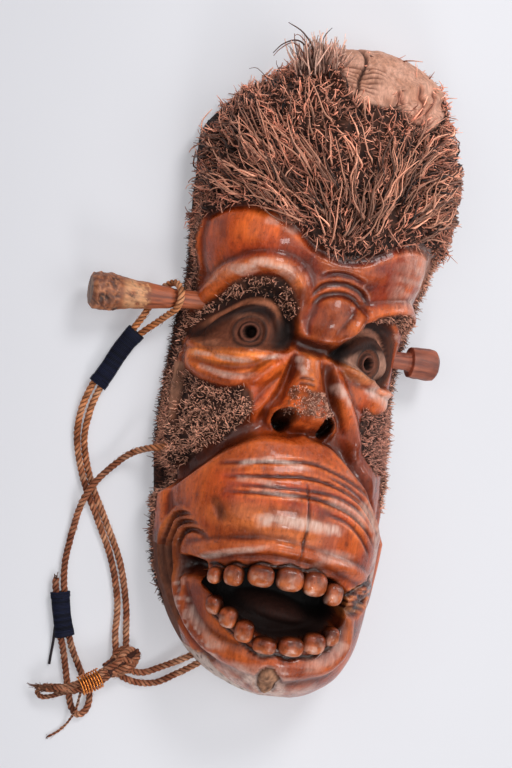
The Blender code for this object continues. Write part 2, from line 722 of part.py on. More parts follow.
def tuft(k, tip):
    """One lock of the tuft, from inside the crown to its tip."""
    tip = np.array(tip, float) * STRETCH
    root = np.array((-46 + 0.25 * (TUFT_TIPS[k][0] + 50), 200, 43)) * STRETCH
    half_way = root + (tip - root) * 0.6 + (0, 0, 2)
    path = [root - (0, 12, 4), root, half_way, tip]
    return solid(f"tuft_{k}", *sweep(path, [(12, 9), (11, 8), (7, 5), (1.5, 1.2)], 7))


def carved_head(look):
    """The head with its hollow, mouth, nostrils, pupils, teeth and tuft, all one piece."""
    head = head_skin(look)
    cut(head, hollow_cutter())
    cut(head, mouth_cutter())
    for side, place in (("left", LEFT_NOSTRIL), ("right", RIGHT_NOSTRIL)):
        at = spot(place, 4)
        cut(head, rod(f"{side}_nostril_cutter", at + (0, -7, 20), at + (0, 4, -17), NOSTRIL_RADIUS))
    for side, place in (("left", LEFT_PUPIL), ("right", RIGHT_PUPIL)):
        inner = spot(place, -12)
        outer = spot(place, 12) + (0, 0.5, 0)
        cut(head, rod(f"{side}_pupil_cutter", inner, outer, PUPIL_RADIUS, 10))
    for row, lift, label in ((UPPER_TEETH, 3.8, "upper"), (LOWER_TEETH, 2.0, "lower")):
        for k, (s, y, half_width, half_height) in enumerate(row):
            cut(head, tooth(f"{label}_tooth_{k}", (s, y), half_width, half_height, lift), "UNION")
    for k, tip in enumerate(TUFT_TIPS):
        cut(head, tuft(k, tip), "UNION")
    flat = head.modifiers.new("triangles", "TRIANGULATE")
    flat.min_vertices = 4
    thin(head, KEPT_SHARE)
    bake(head)
    return head


def peg(name, row, neck, look, head):
    """A round wooden peg and the hole that its tenon goes through."""
    reach = row[2]
    profile = [(share * reach, width * PEG_RADIUS) for share, width in row[4]]
    profile += [(neck * reach, PEG_TENON), (-TENON_IN, PEG_TENON)]
    axis = [peg_point(row, out) for out, _ in profile]
    solid(name, *sweep(axis, [(radius, radius) for _, radius in profile]), look)
    ends = peg_point(row, neck * reach), peg_point(row, -TENON_IN - 9)
    cut(head, rod(f"{name}_cutter", *ends, PEG_TENON + GAP))


# Middle lines of the two whippings, which each hold two strands side by side
UPPER_WHIP = [(-145, -34, 5.0), (-140, -23, 6.0), (-136, -12, 7.4), (-131.5, -2, 9.2), (-127, 6, 11.2)]
LOWER_WHIP = [(-142, -176, 4.8), (-138.2, -190, 4.8), (-133, -205, 4.8)]
STRAND_STEP = CORD / 2 + GAP + 0.15

# The cords' routes, in face millimetres
PEG_ROUTE = (
    [(-95.0, -215.5, 6.0), (-96.5, -208, 4.4), (-98.5, -198, 2.9), (-101.5, -176, 2.8), (-111.5, -149, 2.8),
     (-126, -124, 2.8), (-141, -99, 2.8), (-150.5, -74, 2.8), (-152, -53, 3.4)]
    + offset_route(UPPER_WHIP, STRAND_STEP)
    + [(-123.5, 19, 10.2), (-119.5, 29, 8.6), (-114.5, 39, 11.5), (-109.5, 43.2, 20), (-107, 39.5, 28),
       (-106, 33.5, 30.4), (-107, 26.2, 27.6), (-110.5, 21, 21), (-115.5, 14.5, 15)]
    + offset_route(UPPER_WHIP, -STRAND_STEP)[::-1]
    + [(-146, -53, 3.4), (-145.5, -74, 2.8), (-135.8, -99, 2.8), (-120.5, -124, 2.8), (-105.5, -149, 2.8),
       (-95.5, -176, 2.8), (-91, -197, 2.9), (-89.8, -205, 4.4), (-89.2, -211.5, 6.0)]
)
CHEEK_ROUTE = (
    [(-70, -60, 21), (-84, -64, 22), (-97, -67, 22), (-106, -70, 17.5), (-115, -76, 10.5), (-124, -86, 7.6),
     (-132, -96, 8.6), (-138, -107, 8.6), (-140.5, -118, 6.0), (-141, -128, 3.0), (-142, -141, 2.8),
     (-142.4, -155, 2.8), (-141, -167, 3.6)]
    + offset_route(LOWER_WHIP, STRAND_STEP)
    + [(-126.5, -212, 3.6), (-121.5, -220.5, 2.8), (-116, -229, 2.8), (-110.5, -237, 2.8),
       (-107.3, -245, 2.8),
       (-108.2, -253, 2.8), (-113, -257, 2.8), (-118.5, -252.5, 2.8), (-122, -244, 2.8), (-125.8, -233, 2.8),
       (-129.6, -221, 2.8), (-132.6, -213, 3.4)]
    + offset_route(LOWER_WHIP, -STRAND_STEP)[::-1]
    + [(-146.6, -168, 3.4)]
)
CHIN_ROUTE = [
    (-92, -217.5, 6.0), (-86.5, -221, 4.2), (-79, -222.6, 2.9), (-72, -221.7, 2.8), (-60.7, -215.5, 4.2),
    (-50, -209, 6.5), (-40, -202, 8.0), (-30.5, -194.5, 8.0), (-24, -188, 8.0), (-17.5, -183.5, 8.0),
    (-12.5, -186.5, 8.0), (-14, -192, 8.0), (-21, -197.5, 8.0), (-32, -205, 8.0), (-42, -212.5, 7.5),
    (-51, -219.5, 4.6), (-62.6, -227.3, 2.9), (-74, -229.6, 2.8), (-84, -228.4, 2.9), (-91.5, -225, 4.4),
    (-96, -221.5, 6.4),
]
TAIL_ROUTE = [
    (-115.5, -240.6, 8.2), (-115.5, -244.5, 7.2), (-115.6, -249, 7.4), (-116.5, -254.5, 7.6),
    (-118.2, -260.5, 4.6),
    (-120, -265.5, 1.8), (-124, -270.5, 1.3), (-130, -275, 1.3),
]
TAIL = 2.0
KNOT_AXIS = [(-81.5, -209.5, 5.6), (-86, -212.5, 6.6), (-93, -217.5, 8.0), (-98.5, -222, 10.0),
             (-101, -224.6, 11.2)]
KNOT_SIZES = [(3.6, 3.4), (6.6, 5.6), (8.6, 7.2), (7.2, 6.2), (5.8, 5.6)]
BUNDLE_AXIS = [(-101.6, -225.2, 11.5), (-105, -228, 12.6), (-111, -231.8, 13.4), (-118, -235.6, 13.8),
               (-124, -237.6, 13.4), (-131, -238.8, 12.6), (-138, -240, 11.4), (-145, -241, 9.6)]
# Half width and half height along the bundle, as shares of its radius
BUNDLE_SHAPE = [(1, 0.97), (1, 0.97), (1, 0.97), (1, 0.97), (1.18, 1.04), (1.29, 1), (1.04, 0.75),
                (0.36, 0.29)]


def channel(name, path):
    """A cutter a little thicker than a cord."""
    return solid(f"{name}_channel", *sweep(path, (CORD / 2 + GAP, CORD / 2 + GAP), 10))


def whipping(name, axis, channel_cutter, look):
    """A sleeve of thread round two strands."""
    path = resample(curve_through(axis, 8), 8)
    sleeve = solid(name, *sweep(path, (WHIPPING_WIDTH / 2, WHIPPING_HEIGHT / 2)), look)
    cut(sleeve, channel_cutter)


def binding(look):
    """The sleeve of wire turns round the bundle of cord ends."""
    path = resample(BUNDLE_AXIS[1:4], 5)
    inner = (BUNDLE_RADIUS + GAP + 0.05, BUNDLE_RADIUS * BUNDLE_SHAPE[0][1] + GAP + 0.05)
    outer = (inner[0] + WIRE, inner[1] + WIRE)
    wire = solid("wire_binding", *sweep(path, outer, 14), look)
    cut(wire, solid("wire_bore", *sweep(extended(path, 2.0), inner, 14)))


def cords(head, fibre, navy, copper):
    """The cords and what is tied on them."""
    peg_channel = channel("peg_cord", cord("peg_cord", PEG_ROUTE, CORD, fibre))
    cheek_channel = channel("cheek_cord", cord("cheek_cord", CHEEK_ROUTE, CORD, fibre))
    chin_channel = channel("chin_cord", cord("chin_cord", CHIN_ROUTE, CORD, fibre))
    cord("loose_tail", TAIL_ROUTE, TAIL, fibre)
    cut(head, cheek_channel)
    cut(head, chin_channel)
    whipping("upper_whipping", UPPER_WHIP, peg_channel, navy)
    whipping("lower_whipping", LOWER_WHIP, cheek_channel, navy)
    knot = solid("hitch_knot", *sweep(KNOT_AXIS, KNOT_SIZES, 14), fibre)
    cut(knot, peg_channel)
    cut(knot, chin_channel)
    sizes = [(width * BUNDLE_RADIUS, height * BUNDLE_RADIUS) for width, height in BUNDLE_SHAPE]
    solid("cord_end_bundle", *sweep(BUNDLE_AXIS, sizes), fibre)
    binding(copper)


def main():
    clear_scene()
    wood = material("varnished_bamboo_root", (0.36, 0.11, 0.035), 0.32)
    peg_wood = material("peg_branch_wood", (0.42, 0.21, 0.09), 0.62)
    fibre = material("plant_fibre_cord", (0.38, 0.19, 0.09), 0.85)
    navy = material("navy_thread", (0.012, 0.018, 0.055), 0.8)
    copper = material("copper_wire", (0.72, 0.33, 0.1), 0.35, 0.9)
    head = carved_head(wood)
    peg("left_peg", LEFT_PEG, LEFT_NECK, peg_wood, head)
    peg("right_peg", RIGHT_PEG, RIGHT_NECK, peg_wood, head)
    cords(head, fibre, navy, copper)


main()
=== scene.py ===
"""Looks of a monkey head carved from a bamboo root, with its pegs, cords and bindings."""

import math

import bmesh
import bpy
import numpy as np
from mathutils import Matrix, Vector


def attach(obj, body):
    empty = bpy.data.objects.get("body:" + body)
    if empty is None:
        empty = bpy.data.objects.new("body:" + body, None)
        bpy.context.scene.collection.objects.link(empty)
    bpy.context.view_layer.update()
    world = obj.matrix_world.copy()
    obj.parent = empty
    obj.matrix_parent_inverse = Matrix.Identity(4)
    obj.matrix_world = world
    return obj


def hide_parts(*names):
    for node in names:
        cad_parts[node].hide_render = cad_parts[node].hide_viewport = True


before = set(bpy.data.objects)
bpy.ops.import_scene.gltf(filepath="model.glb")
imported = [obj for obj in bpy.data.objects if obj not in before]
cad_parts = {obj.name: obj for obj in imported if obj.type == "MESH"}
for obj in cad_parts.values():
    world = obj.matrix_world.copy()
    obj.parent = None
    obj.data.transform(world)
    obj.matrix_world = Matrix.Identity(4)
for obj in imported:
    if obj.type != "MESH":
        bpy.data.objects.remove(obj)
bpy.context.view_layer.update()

MM = 0.001

# The driving sizes of the solids, in millimetres
HEAD_LENGTH = 450.0
HEAD_WIDTH = 174.0
HEAD_DEPTH = 92.0
WALL = 16.0
TOOTH_RISE = 6.0
TOOTH_POWER = 0.76
PEG_HEIGHT = 21.0
PEG_RADIUS = 11.8
PEG_TENON = 6.2
LEFT_PEG_OUT = 70.5
RIGHT_PEG_OUT = 26.3
TENON_IN = 24.0
CORD = 4.9
WHIPPING_WIDTH = 13.4
WHIPPING_HEIGHT = 8.8
BUNDLE_RADIUS = 5.6
WIRE = 1.1
GAP = 0.3

# Sizes of what only the looks have
THREAD = 0.95
WAIST = 0.05
CAVITY_DEPTH = 44.0
NOSTRIL_DEPTH = 13.0

# Rows of the head's front along it and columns round it, closest over the face: from, to, how many
FRONT_ROWS = ((-221.85, -190, 22), (-190, 104, 292), (104, 180, 38), (180, 216, 44), (216, 227.85, 13))
FRONT_COLUMNS = ((-1, -0.6, 34), (-0.6, 0.5, 150), (0.5, 1, 37))
BACK_STEP = 6
BACK_COLUMNS = 31

rng = np.random.default_rng(11)


# The face is drawn on a head of these sizes and stretched to the driving ones
DRAWN_LENGTH = 450.0
DRAWN_WIDTH = 174.0
DRAWN_DEPTH = 92.0
STRETCH = np.array((HEAD_WIDTH / DRAWN_WIDTH, HEAD_LENGTH / DRAWN_LENGTH, HEAD_DEPTH / DRAWN_DEPTH))

# Stations along the head: height on the face, half width, depth, centre
STATIONS = (
    ("chin tip", -222, 0, 22, 7),
    ("chin turn", -218, 26, 44, 7),
    ("chin", -209, 42, 64, 5),
    ("lower lip", -198, 53, 78, 3),
    ("mouth", -172, 67, 89, -2),
    ("upper lip", -140, 74, 92, -7),
    ("muzzle", -100, 79, 90, -11.5),
    ("muzzle top", -62, 82, 82, -15),
    ("nose", -25, 81, 72, -17),
    ("eyes", 15, 80, 66, -18),
    ("brow", 55, 81.5, 70, -15.5),
    ("forehead", 85, 86.5, 77, -15.5),
    ("hairline", 115, 90, 84, -15),
    ("hair", 145, 90.5, 86, -17.5),
    ("crown", 170, 80.5, 80, -14.5),
    ("crown turn", 195, 61.5, 68, -4.5),
    ("cut wood", 212, 49, 54, 2),
    ("top", 222, 33, 42, 1),
    ("tip", 228, 0, 24, 0),
)
SECTION_POWER = 2.35


def curve_through(points, steps=6):
    """A smooth line through the points."""
    p = np.asarray(points, float)
    if len(p) < 3:
        return p
    q = np.vstack([2 * p[0] - p[1], p, 2 * p[-1] - p[-2]])
    t = np.linspace(0, 1, steps, endpoint=False)[:, None]
    rows = []
    for i in range(len(p) - 1):
        a, b, c, d = q[i : i + 4]
        rows.append(
            0.5 * (2 * b + (c - a) * t + (2 * a - 5 * b + 4 * c - d) * t**2 + (3 * b - a - 3 * c + d) * t**3)
        )
    rows.append(p[-1:])
    return np.vstack(rows)


def between(x, xs, ys):
    """Values between the stations, without overshoot."""
    xs = np.asarray(xs, float)
    ys = np.asarray(ys, float)
    gap = np.diff(xs)
    rise = np.diff(ys) / gap
    slope = np.zeros(len(xs))
    for i in range(1, len(xs) - 1):
        if rise[i - 1] * rise[i] > 0:
            a = 2 * gap[i] + gap[i - 1]
            b = gap[i] + 2 * gap[i - 1]
            slope[i] = (a + b) / (a / rise[i - 1] + b / rise[i])
    slope[0] = rise[0]
    slope[-1] = rise[-1]
    i = np.clip(np.searchsorted(xs, x) - 1, 0, len(xs) - 2)
    t = (x - xs[i]) / gap[i]
    return (
        ys[i] * (2 * t**3 - 3 * t**2 + 1)
        + slope[i] * gap[i] * (t**3 - 2 * t**2 + t)
        + ys[i + 1] * (-2 * t**3 + 3 * t**2)
        + slope[i + 1] * gap[i] * (t**3 - t**2)
    )


def sizes_at(y):
    """Half width, depth and centre of the drawn head."""
    _, ys, widths, depths, centres = zip(*STATIONS)
    width = np.sqrt(np.maximum(between(y, ys, np.square(widths)), 0))
    return width, between(y, ys, depths), between(y, ys, centres)


def blank(rows, columns):
    """The plain head: its points, and the drawn distance round from the midline."""
    turn = np.linspace(math.pi, 0, 721)
    power = 2 / SECTION_POWER
    across = np.sign(np.cos(turn)) * np.abs(np.cos(turn)) ** power
    up = np.abs(np.sin(turn)) ** power
    width, depth, centre = sizes_at(rows)
    x = centre[:, None] + width[:, None] * across
    z = depth[:, None] * up
    arc = np.concatenate([np.zeros((len(rows), 1)), np.cumsum(np.hypot(np.diff(x), np.diff(z)), 1)], 1)
    arc -= arc[:, [360]]
    points = np.zeros((len(rows), len(columns), 3))
    round_ = np.zeros((len(rows), len(columns)))
    for i in range(len(rows)):
        reach = np.where(columns < 0, -arc[i, 0], arc[i, -1])
        round_[i] = columns * reach
        points[i, :, 0] = np.interp(round_[i], arc[i], x[i])
        points[i, :, 1] = rows[i]
        points[i, :, 2] = np.interp(round_[i], arc[i], z[i])
    return points * STRETCH, round_


def unit(vectors):
    """The same directions, of length one."""
    return vectors / np.maximum(np.linalg.norm(vectors, axis=-1, keepdims=True), 1e-9)


def directions(points):
    """The way out of the surface at each point."""
    along = np.gradient(points, axis=1)
    up = np.gradient(points, axis=0)
    return unit(np.cross(along, up))


def smooth(t):
    """From nothing to one as t does, with a gentle start and end."""
    t = np.clip(t, 0, 1)
    return t * t * (3 - 2 * t)


class Relief:
    """Heights over the plain head, at distance s round from the midline and height y."""

    def __init__(self, s, y):
        self.s = s
        self.y = y
        self.h = np.zeros_like(s)

    def offset(self, line, reach):
        """Which points are within reach of a line, how far from it they are and how far along it."""
        low = line.min(0) - reach
        high = line.max(0) + reach
        near = (self.s > low[0]) & (self.s < high[0]) & (self.y > low[1]) & (self.y < high[1])
        s = self.s[near]
        y = self.y[near]
        best = np.full(s.shape, 1e9)
        along = np.zeros(s.shape)
        step = np.hypot(*np.diff(line, axis=0).T)
        done = np.concatenate([[0], np.cumsum(step)]) / max(step.sum(), 1e-9)
        for k in range(len(line) - 1):
            d = line[k + 1] - line[k]
            t = np.clip(((s - line[k][0]) * d[0] + (y - line[k][1]) * d[1]) / max(d @ d, 1e-9), 0, 1)
            gap = np.hypot(s - line[k][0] - t * d[0], y - line[k][1] - t * d[1])
            closer = gap < best
            best[closer] = gap[closer]
            along[closer] = (done[k] + t * (done[k + 1] - done[k]))[closer]
        return near, best, along

    def line(self, points, width, sharp=2.0, taper=0.25):
        """One along a line, falling to nothing at width from it."""
        near, gap, along = self.offset(curve_through(points), width)
        shape = np.maximum(1 - (gap / width) ** 2, 0) ** sharp
        if taper:
            shape = shape * smooth(np.minimum(along, 1 - along) / taper + 0.15)
        amount = np.zeros(self.s.shape)
        amount[near] = shape
        return amount

    def stroke(self, points, height, width, sharp=2.0, taper=0.25):
        """A ridge along a line, or a groove when height is negative."""
        self.h += height * self.line(points, width, sharp, taper)

    def mask(self, outline, soft):
        """One inside a closed outline, fading to nothing over soft, half on each side."""
        line = curve_through(list(outline) + [outline[0]], 5)
        near, gap, _ = self.offset(line, soft)
        inside = np.zeros(self.s.shape, bool)
        for a, b in zip(line[:-1], line[1:]):
            if a[1] == b[1]:
                continue
            cross = (self.y >= min(a[1], b[1])) & (self.y < max(a[1], b[1]))
            cross &= self.s < a[0] + (self.y - a[1]) * (b[0] - a[0]) / (b[1] - a[1])
            inside ^= cross
        value = inside.astype(float)
        value[near] = smooth(0.5 + np.where(inside[near], gap, -gap) / soft)
        return value

    def turned(self, centre, radii, turn):
        """Position in an oval's own directions, one on its outline."""
        c = math.cos(math.radians(turn))
        k = math.sin(math.radians(turn))
        ds = self.s - centre[0]
        dy = self.y - centre[1]
        return (ds * c + dy * k) / radii[0], (dy * c - ds * k) / radii[1]

    def oval(self, centre, radii, turn=0.0, power=1.5):
        """One at the centre, falling to nothing on the outline."""
        a, b = self.turned(centre, radii, turn)
        return np.maximum(1 - a * a - b * b, 0) ** power

    def dome(self, centre, radii, height, turn=0.0, power=1.5):
        """A mound over an oval."""
        self.h += height * self.oval(centre, radii, turn, power)

    def ring(self, centre, radii, height, width, turn=0.0):
        """A raised ring, or a cut one when height is negative. Width is across the ring."""
        a, b = self.turned(centre, radii, turn)
        gap = (np.hypot(a, b) - 1) * min(radii)
        self.h += height * np.maximum(1 - (gap / width) ** 2, 0) ** 2

    def settle(self, mask, level):
        """Brings the surface to a level inside a mask."""
        self.h = self.h * (1 - mask) + level * mask


HAIRLINE = (
    (-175, 78), (-125, 80), (-108, 90), (-90, 99), (-70, 103), (-50, 101), (-32, 93), (-18, 84), (0, 80),
    (14, 82), (28, 89), (42, 97), (60, 100), (90, 98), (130, 92), (175, 90),
)
MUZZLE_TOP = (
    (-150, -104), (-130, -99), (-110, -93), (-90, -84), (-75, -74), (-60, -62), (-45, -52), (-30, -44),
    (-15, -40), (5, -40), (18, -43), (30, -51), (42, -62), (52, -73), (62, -85), (75, -96), (100, -104),
    (150, -106),
)
LEFT_SOCKET = (
    (-104, 10), (-100, 22), (-86, 35), (-68, 46), (-48, 51), (-30, 46), (-20, 34), (-15, 20), (-22, 12),
    (-45, 8), (-75, 5),
)
RIGHT_SOCKET = (
    (13, 14), (20, 26), (30, 37), (46, 44), (62, 42), (74, 30), (80, 14), (74, 3), (58, 1), (42, 5),
    (26, 11),
)
LEFT_PUPIL = (-46.5, 20)
RIGHT_PUPIL = (44, 15)
# Irises: centre, size and turn
EYES = ((LEFT_PUPIL, 1.0, 0), (RIGHT_PUPIL, 0.95, -15))
LEFT_NOSTRIL = (-15.5, -31.5)
RIGHT_NOSTRIL = (14.5, -31.5)
# Wrinkles over the muzzle: depth, then the line
WRINKLES = (
    (1.3, ((-58, -69), (-38, -64.5), (-20, -61), (0, -58), (15, -60), (35, -66.5), (50, -76), (62, -88))),
    (1.9, ((-52, -76), (-36, -73), (-20, -70.5), (0, -68), (20, -70.5), (38, -77), (52, -88), (64, -99))),
    (1.2, ((-46, -80.5), (-30, -78.5), (-15, -77), (10, -76), (26, -78), (40, -84), (54, -95))),
    (2.0, ((-50, -85), (-34, -83), (-20, -81.5), (0, -80), (14, -81.5), (30, -85.5), (46, -94), (60, -106))),
    (1.2, ((14, -64), (30, -69.5), (46, -79), (60, -92))),
    (1.2, ((12, -88), (28, -91.5), (42, -100), (54, -111))),
)
# Teeth: place, half width and half height
UPPER_TEETH = (
    (-54, -139, 4.5, 5.5), (-41.5, -136.5, 6.6, 6.8), (-25, -133.5, 8.6, 7.2), (-6.8, -132.5, 9.2, 8),
    (10, -133, 8.2, 8.2), (23.5, -138, 6.4, 7.6),
)
LOWER_TEETH = (
    (-54, -158.5, 5, 6.5), (-43.5, -164.5, 6, 7), (-32.5, -171, 6.3, 7.6), (-19, -177.5, 7.8, 5.5),
    (-2, -175.5, 8.6, 6.5), (13.5, -171.5, 7.8, 7.2), (26, -165.5, 5, 6.5),
)
MOUTH = (
    (-66, -142), (-50, -138), (-34, -133), (-15, -130), (5, -130), (20, -132), (34, -136), (38, -145),
    (34, -157), (24, -166), (8, -172), (-12, -175), (-28, -169), (-42, -161), (-54, -152), (-64, -147),
)

# Lines that are both carved and coloured
LEFT_LID = ((-90, 8), (-78, 17), (-66, 27), (-55, 36), (-44, 39.5), (-34, 36), (-27, 27), (-23, 14))
RIGHT_LID = ((20, 13), (28, 22), (38, 29), (49, 30.5), (58, 25), (63, 14), (66, 2))
LOW_FROWN = ((-11, 44), (-6, 51), (2, 55), (10, 56), (19, 54), (27, 48), (31, 41))
HIGH_FROWN = ((-13, 50), (-6, 58), (3, 61), (11, 61.5), (21, 59), (30, 52))
NOSE_ROOT = ((-16, 26), (-12, 20), (0, 17.5), (10, 18), (16, 22))
BROW_EDGE = ((15, 16), (21, 30), (28, 46))
LEFT_CHEEK_FOLD = ((-18, 12), (-26, 2), (-34, -8), (-41, -18), (-47, -29), (-56, -40))
UPPER_LIP = (
    (-92, -131), (-74, -127), (-54, -121), (-35, -116.5), (-16, -114), (8, -116.5), (34, -121), (56, -127),
    (72, -134),
)
LOWER_LIP = (
    (-91, -142), (-89, -156), (-80, -170), (-66, -182), (-46, -189), (-22, -191), (4, -190), (24, -186),
    (38, -176), (44, -162), (42, -150),
)
CHIN_FOLD = ((-100, -150), (-98, -166), (-88, -180), (-72, -193), (-50, -200))
RIGHT_CORNER_TOP = ((36, -140), (50, -134), (62, -129), (76, -125))
RIGHT_CORNER_LOW = ((38, -146), (50, -149), (62, -145), (76, -141))


def above_hairline(r, soft, lower=0):
    """One where the hair grows, from so far below the hairline up."""
    return r.mask([(s, y - lower) for s, y in HAIRLINE] + [(175, 300), (-175, 300)], soft)


def carve_hair(r):
    """The bed of the hair, higher than the skin below it, in locks down to both sides."""
    hair = above_hairline(r, 5)
    # The skin lies lower than the rootlets of the hair and of the strips down both sides
    sides = np.maximum(smooth((-98 - r.s) / 9), smooth((r.s - 100) / 9)) * smooth((r.y + 175) / 30)
    r.h -= 4.5 * (1 - hair) * (1 - sides)
    # Locks run down to the left on one side and down to the right on the other
    lean = np.where(r.s < 5, 0.62, -0.75) * (r.s - 5)
    r.h += hair * 1.8 * np.sin((r.y + lean) * 2 * math.pi / 21) * smooth((215 - r.y) / 20)
    r.stroke([(s, y - 2) for s, y in HAIRLINE[2:-2]], -2.4, 5, 1.2, 0.1)


def carve_brow(r):
    """The forehead and the ridges over the eyes."""
    r.dome((-72, 80), (54, 32), 10, power=1.2)
    r.dome((50, 74), (44, 26), 5, power=1.2)
    r.dome((10, 72), (30, 10), 2.5)
    # Ridges over the eyes
    left = [(-108, 30), (-96, 37), (-84, 46), (-70, 56), (-56, 64.5), (-44, 67), (-32, 65), (-23, 59)]
    left += [(-18, 48), (-16, 34)]
    right = [(14, 16), (20, 30), (27, 43), (38, 48), (52, 52), (68, 54), (86, 50), (104, 40)]
    for line in (left, right):
        r.stroke(line, 6.5, 9, 1.6)


def carve_eyes(r):
    """The sockets, eyeballs, lids and irises, and the bags under the eyes."""
    r.settle(r.mask(LEFT_SOCKET, 9), -4 - 11 * smooth((r.s + 98) / 34))
    r.settle(r.mask(RIGHT_SOCKET, 8), -4 - 9 * smooth((84 - r.s) / 26))
    # Eyeballs
    r.dome((-50, 19), (33, 19), 13, 6, 0.8)
    r.dome((45, 15), (26, 16), 10, -4, 0.8)
    # Upper lids
    r.stroke(LEFT_LID, 5, 5, 1.4)
    r.stroke(RIGHT_LID, 4.5, 4.5, 1.4)
    r.stroke([(52, 38), (66, 34), (72, 22), (74, 8)], 3.5, 4.5, 1.4)
    # Irises
    for centre, size, turn in EYES:
        r.ring(centre, (11.5 * size, 10.5 * size), 2.0, 2.6, turn)
        r.ring(centre, (8.6 * size, 7.8 * size), -1.6, 1.8, turn)
        r.ring(centre, (6.2 * size, 5.6 * size), 1.2, 1.8, turn)
        r.settle(np.clip(2.2 * r.oval(centre, (4.6 * size, 4.0 * size), turn, 1.0), 0, 1), -14)
    # Lower lids and bags
    r.dome((-62, -1), (44, 17), 7, 4, 0.8)
    r.stroke([(-104, 6), (-80, 7.5), (-50, 9.5), (-28, 11.5), (-14, 14)], 5, 4.5, 1.5)
    r.stroke([(-96, -6), (-76, -13), (-56, -14.5), (-40, -11), (-28, -2), (-20, 8)], 3.0, 5, 1.5)
    r.stroke([(-90, -2), (-70, -5), (-50, -4), (-32, 3)], -1.6, 3.5, 1.5)
    r.stroke([(18, 12), (34, 8), (50, 3), (68, -1), (84, -2)], 4.5, 4.5, 1.5)
    r.dome((56, -6), (30, 12), 4, -6, 1.0)


def carve_frown(r):
    """The knot of skin between the brows."""
    r.dome((10, 36), (19, 19), 6.5, power=1.0)
    r.stroke(LOW_FROWN, -3.0, 3.4, 1.5)
    r.stroke(HIGH_FROWN, -2.6, 3.2, 1.5)
    r.stroke([(-8, 65), (2, 68), (12, 68), (22, 65)], -1.8, 3.0, 1.5)
    r.stroke(NOSE_ROOT, -6, 6, 1.5)
    r.stroke(BROW_EDGE, 2.5, 2.6, 1.5)


def carve_nose(r):
    """The nose, and the folds from it over the cheeks."""
    top = 14.0
    bottom = -38.0
    fall = np.clip((top - r.y) / (top - bottom), 0, 1)
    half = 9 + 14 * fall**1.4
    centre = 2.5 * fall - 3
    shape = np.maximum(1 - ((r.s - centre) / half) ** 2, 0) ** 0.75
    ends = smooth((top + 2 - r.y) / 6) * smooth((r.y - bottom) / 7)
    r.h += shape * (3 + 19 * fall**1.15) * ends
    # Ball, wings and the rims of the nostrils
    r.dome((0, -20), (15, 12), 2.5, power=1.0)
    for nostril, wing in ((LEFT_NOSTRIL, (-19, -27)), (RIGHT_NOSTRIL, (18, -27))):
        r.dome(wing, (11, 10), 4)
        r.ring(nostril, (8.5, 7.5), 1.5, 2.6)
    r.stroke([(-10, 13), (-15, -4), (-22, -20), (-29, -30), (-31, -39)], -4.5, 5, 1.5)
    r.stroke([(11, 13), (15, -4), (20, -18), (26, -30), (28, -40)], -4.5, 5, 1.5)
    for cut in (-3.5, -7.2):
        r.stroke([(-10, cut - 0.6), (-4, cut + 0.4), (2, cut - 0.2)], -1.6, 1.4, 1.2)
    # Folds from the nose over the cheeks
    r.stroke(LEFT_CHEEK_FOLD, 4, 7, 1.5)
    r.stroke([(16, 10), (21, -1), (28, -13), (35, -25), (40, -38), (44, -50)], 6, 7.5, 1.5)
    r.dome((54, -62), (20, 18), 4)


def carve_muzzle(r):
    """The muzzle down to the mouth, with its wrinkles."""
    left = [(-132, -90), (-108, -84), (-88, -74), (-72, -63), (-57, -51), (-42, -42), (-28, -37), (0, -36)]
    r.stroke(left, -9, 11, 1.5, 0.1)
    r.stroke([(0, -36), (20, -38), (33, -48), (45, -60), (56, -72), (68, -84), (84, -92)], -6, 8, 1.5, 0.1)
    muzzle = r.mask(list(MUZZLE_TOP) + [(150, -300), (-150, -300)], 7)
    r.h += muzzle * (5 + 8 * r.oval((-8, -92), (96, 50), 0, 1.0))
    for depth, line in WRINKLES:
        r.stroke(line, -depth, 1.9, 1.3)
    r.dome((-14, -99), (34, 9), 1.8, 2)
    r.stroke([(-1, -70), (1, -80), (1, -94), (-1, -108), (-2, -124)], -1.2, 1.1, 1.0)
    r.dome((-54, -97), (5, 11), -1.0, 35)


# Folds round the left corner of the mouth, and from one to the next
FOLDS = 3
FOLD_STEP = 7.0


def fold(out):
    """The line of a fold round the left corner of the mouth, so far outside the first one."""
    return [
        (-61 - 0.8 * out, -118 + 0.7 * out),
        (-66 - 0.9 * out, -114.5 + 0.7 * out),
        (-76 - 0.9 * out, -114 + 0.5 * out),
        (-85 - 0.8 * out, -118.5 + 0.5 * out),
        (-90.5 - out, -127),
        (-90 - out, -145),
        (-85 - 1.15 * out, -162),
    ]


def carve_lips(r):
    """The lips, the corners of the mouth with the folds round the left one, and the chin."""
    r.stroke(UPPER_LIP, 3.4, 6, 1.5)
    below = [(-70, -131), (-50, -126), (-30, -121.5), (-10, -120), (12, -121.5), (34, -126.5)]
    r.stroke(below, -1.6, 3.0, 1.5)
    for k in range(FOLDS):
        out = FOLD_STEP * k
        r.stroke(fold(out), -4.4 + 0.3 * k, 2.8, 1.4)
        r.stroke(fold(out + FOLD_STEP / 2), 2.6 - 0.3 * k, 3.2, 1.4)
    # Corners of the mouth
    r.stroke([(-90, -141), (-78, -139), (-62, -140)], -13, 8, 1.2, 0.2)
    r.stroke(RIGHT_CORNER_TOP, -3.4, 3, 1.2)
    r.stroke(RIGHT_CORNER_LOW, -5, 5, 1.2)
    # Lower lip and chin
    r.stroke(LOWER_LIP, 5.5, 9, 1.4, 0.15)
    r.stroke(CHIN_FOLD, -5, 8, 1.5)
    r.dome((-10, -204), (36, 16), 4)
    r.dome((-15, -204), (8, 12), 2.5)


def carve(s, y):
    """The whole relief of the head, in drawn millimetres."""
    r = Relief(s, y)
    for part in (carve_hair, carve_brow, carve_eyes, carve_frown, carve_nose, carve_muzzle, carve_lips):
        part(r)
    return r


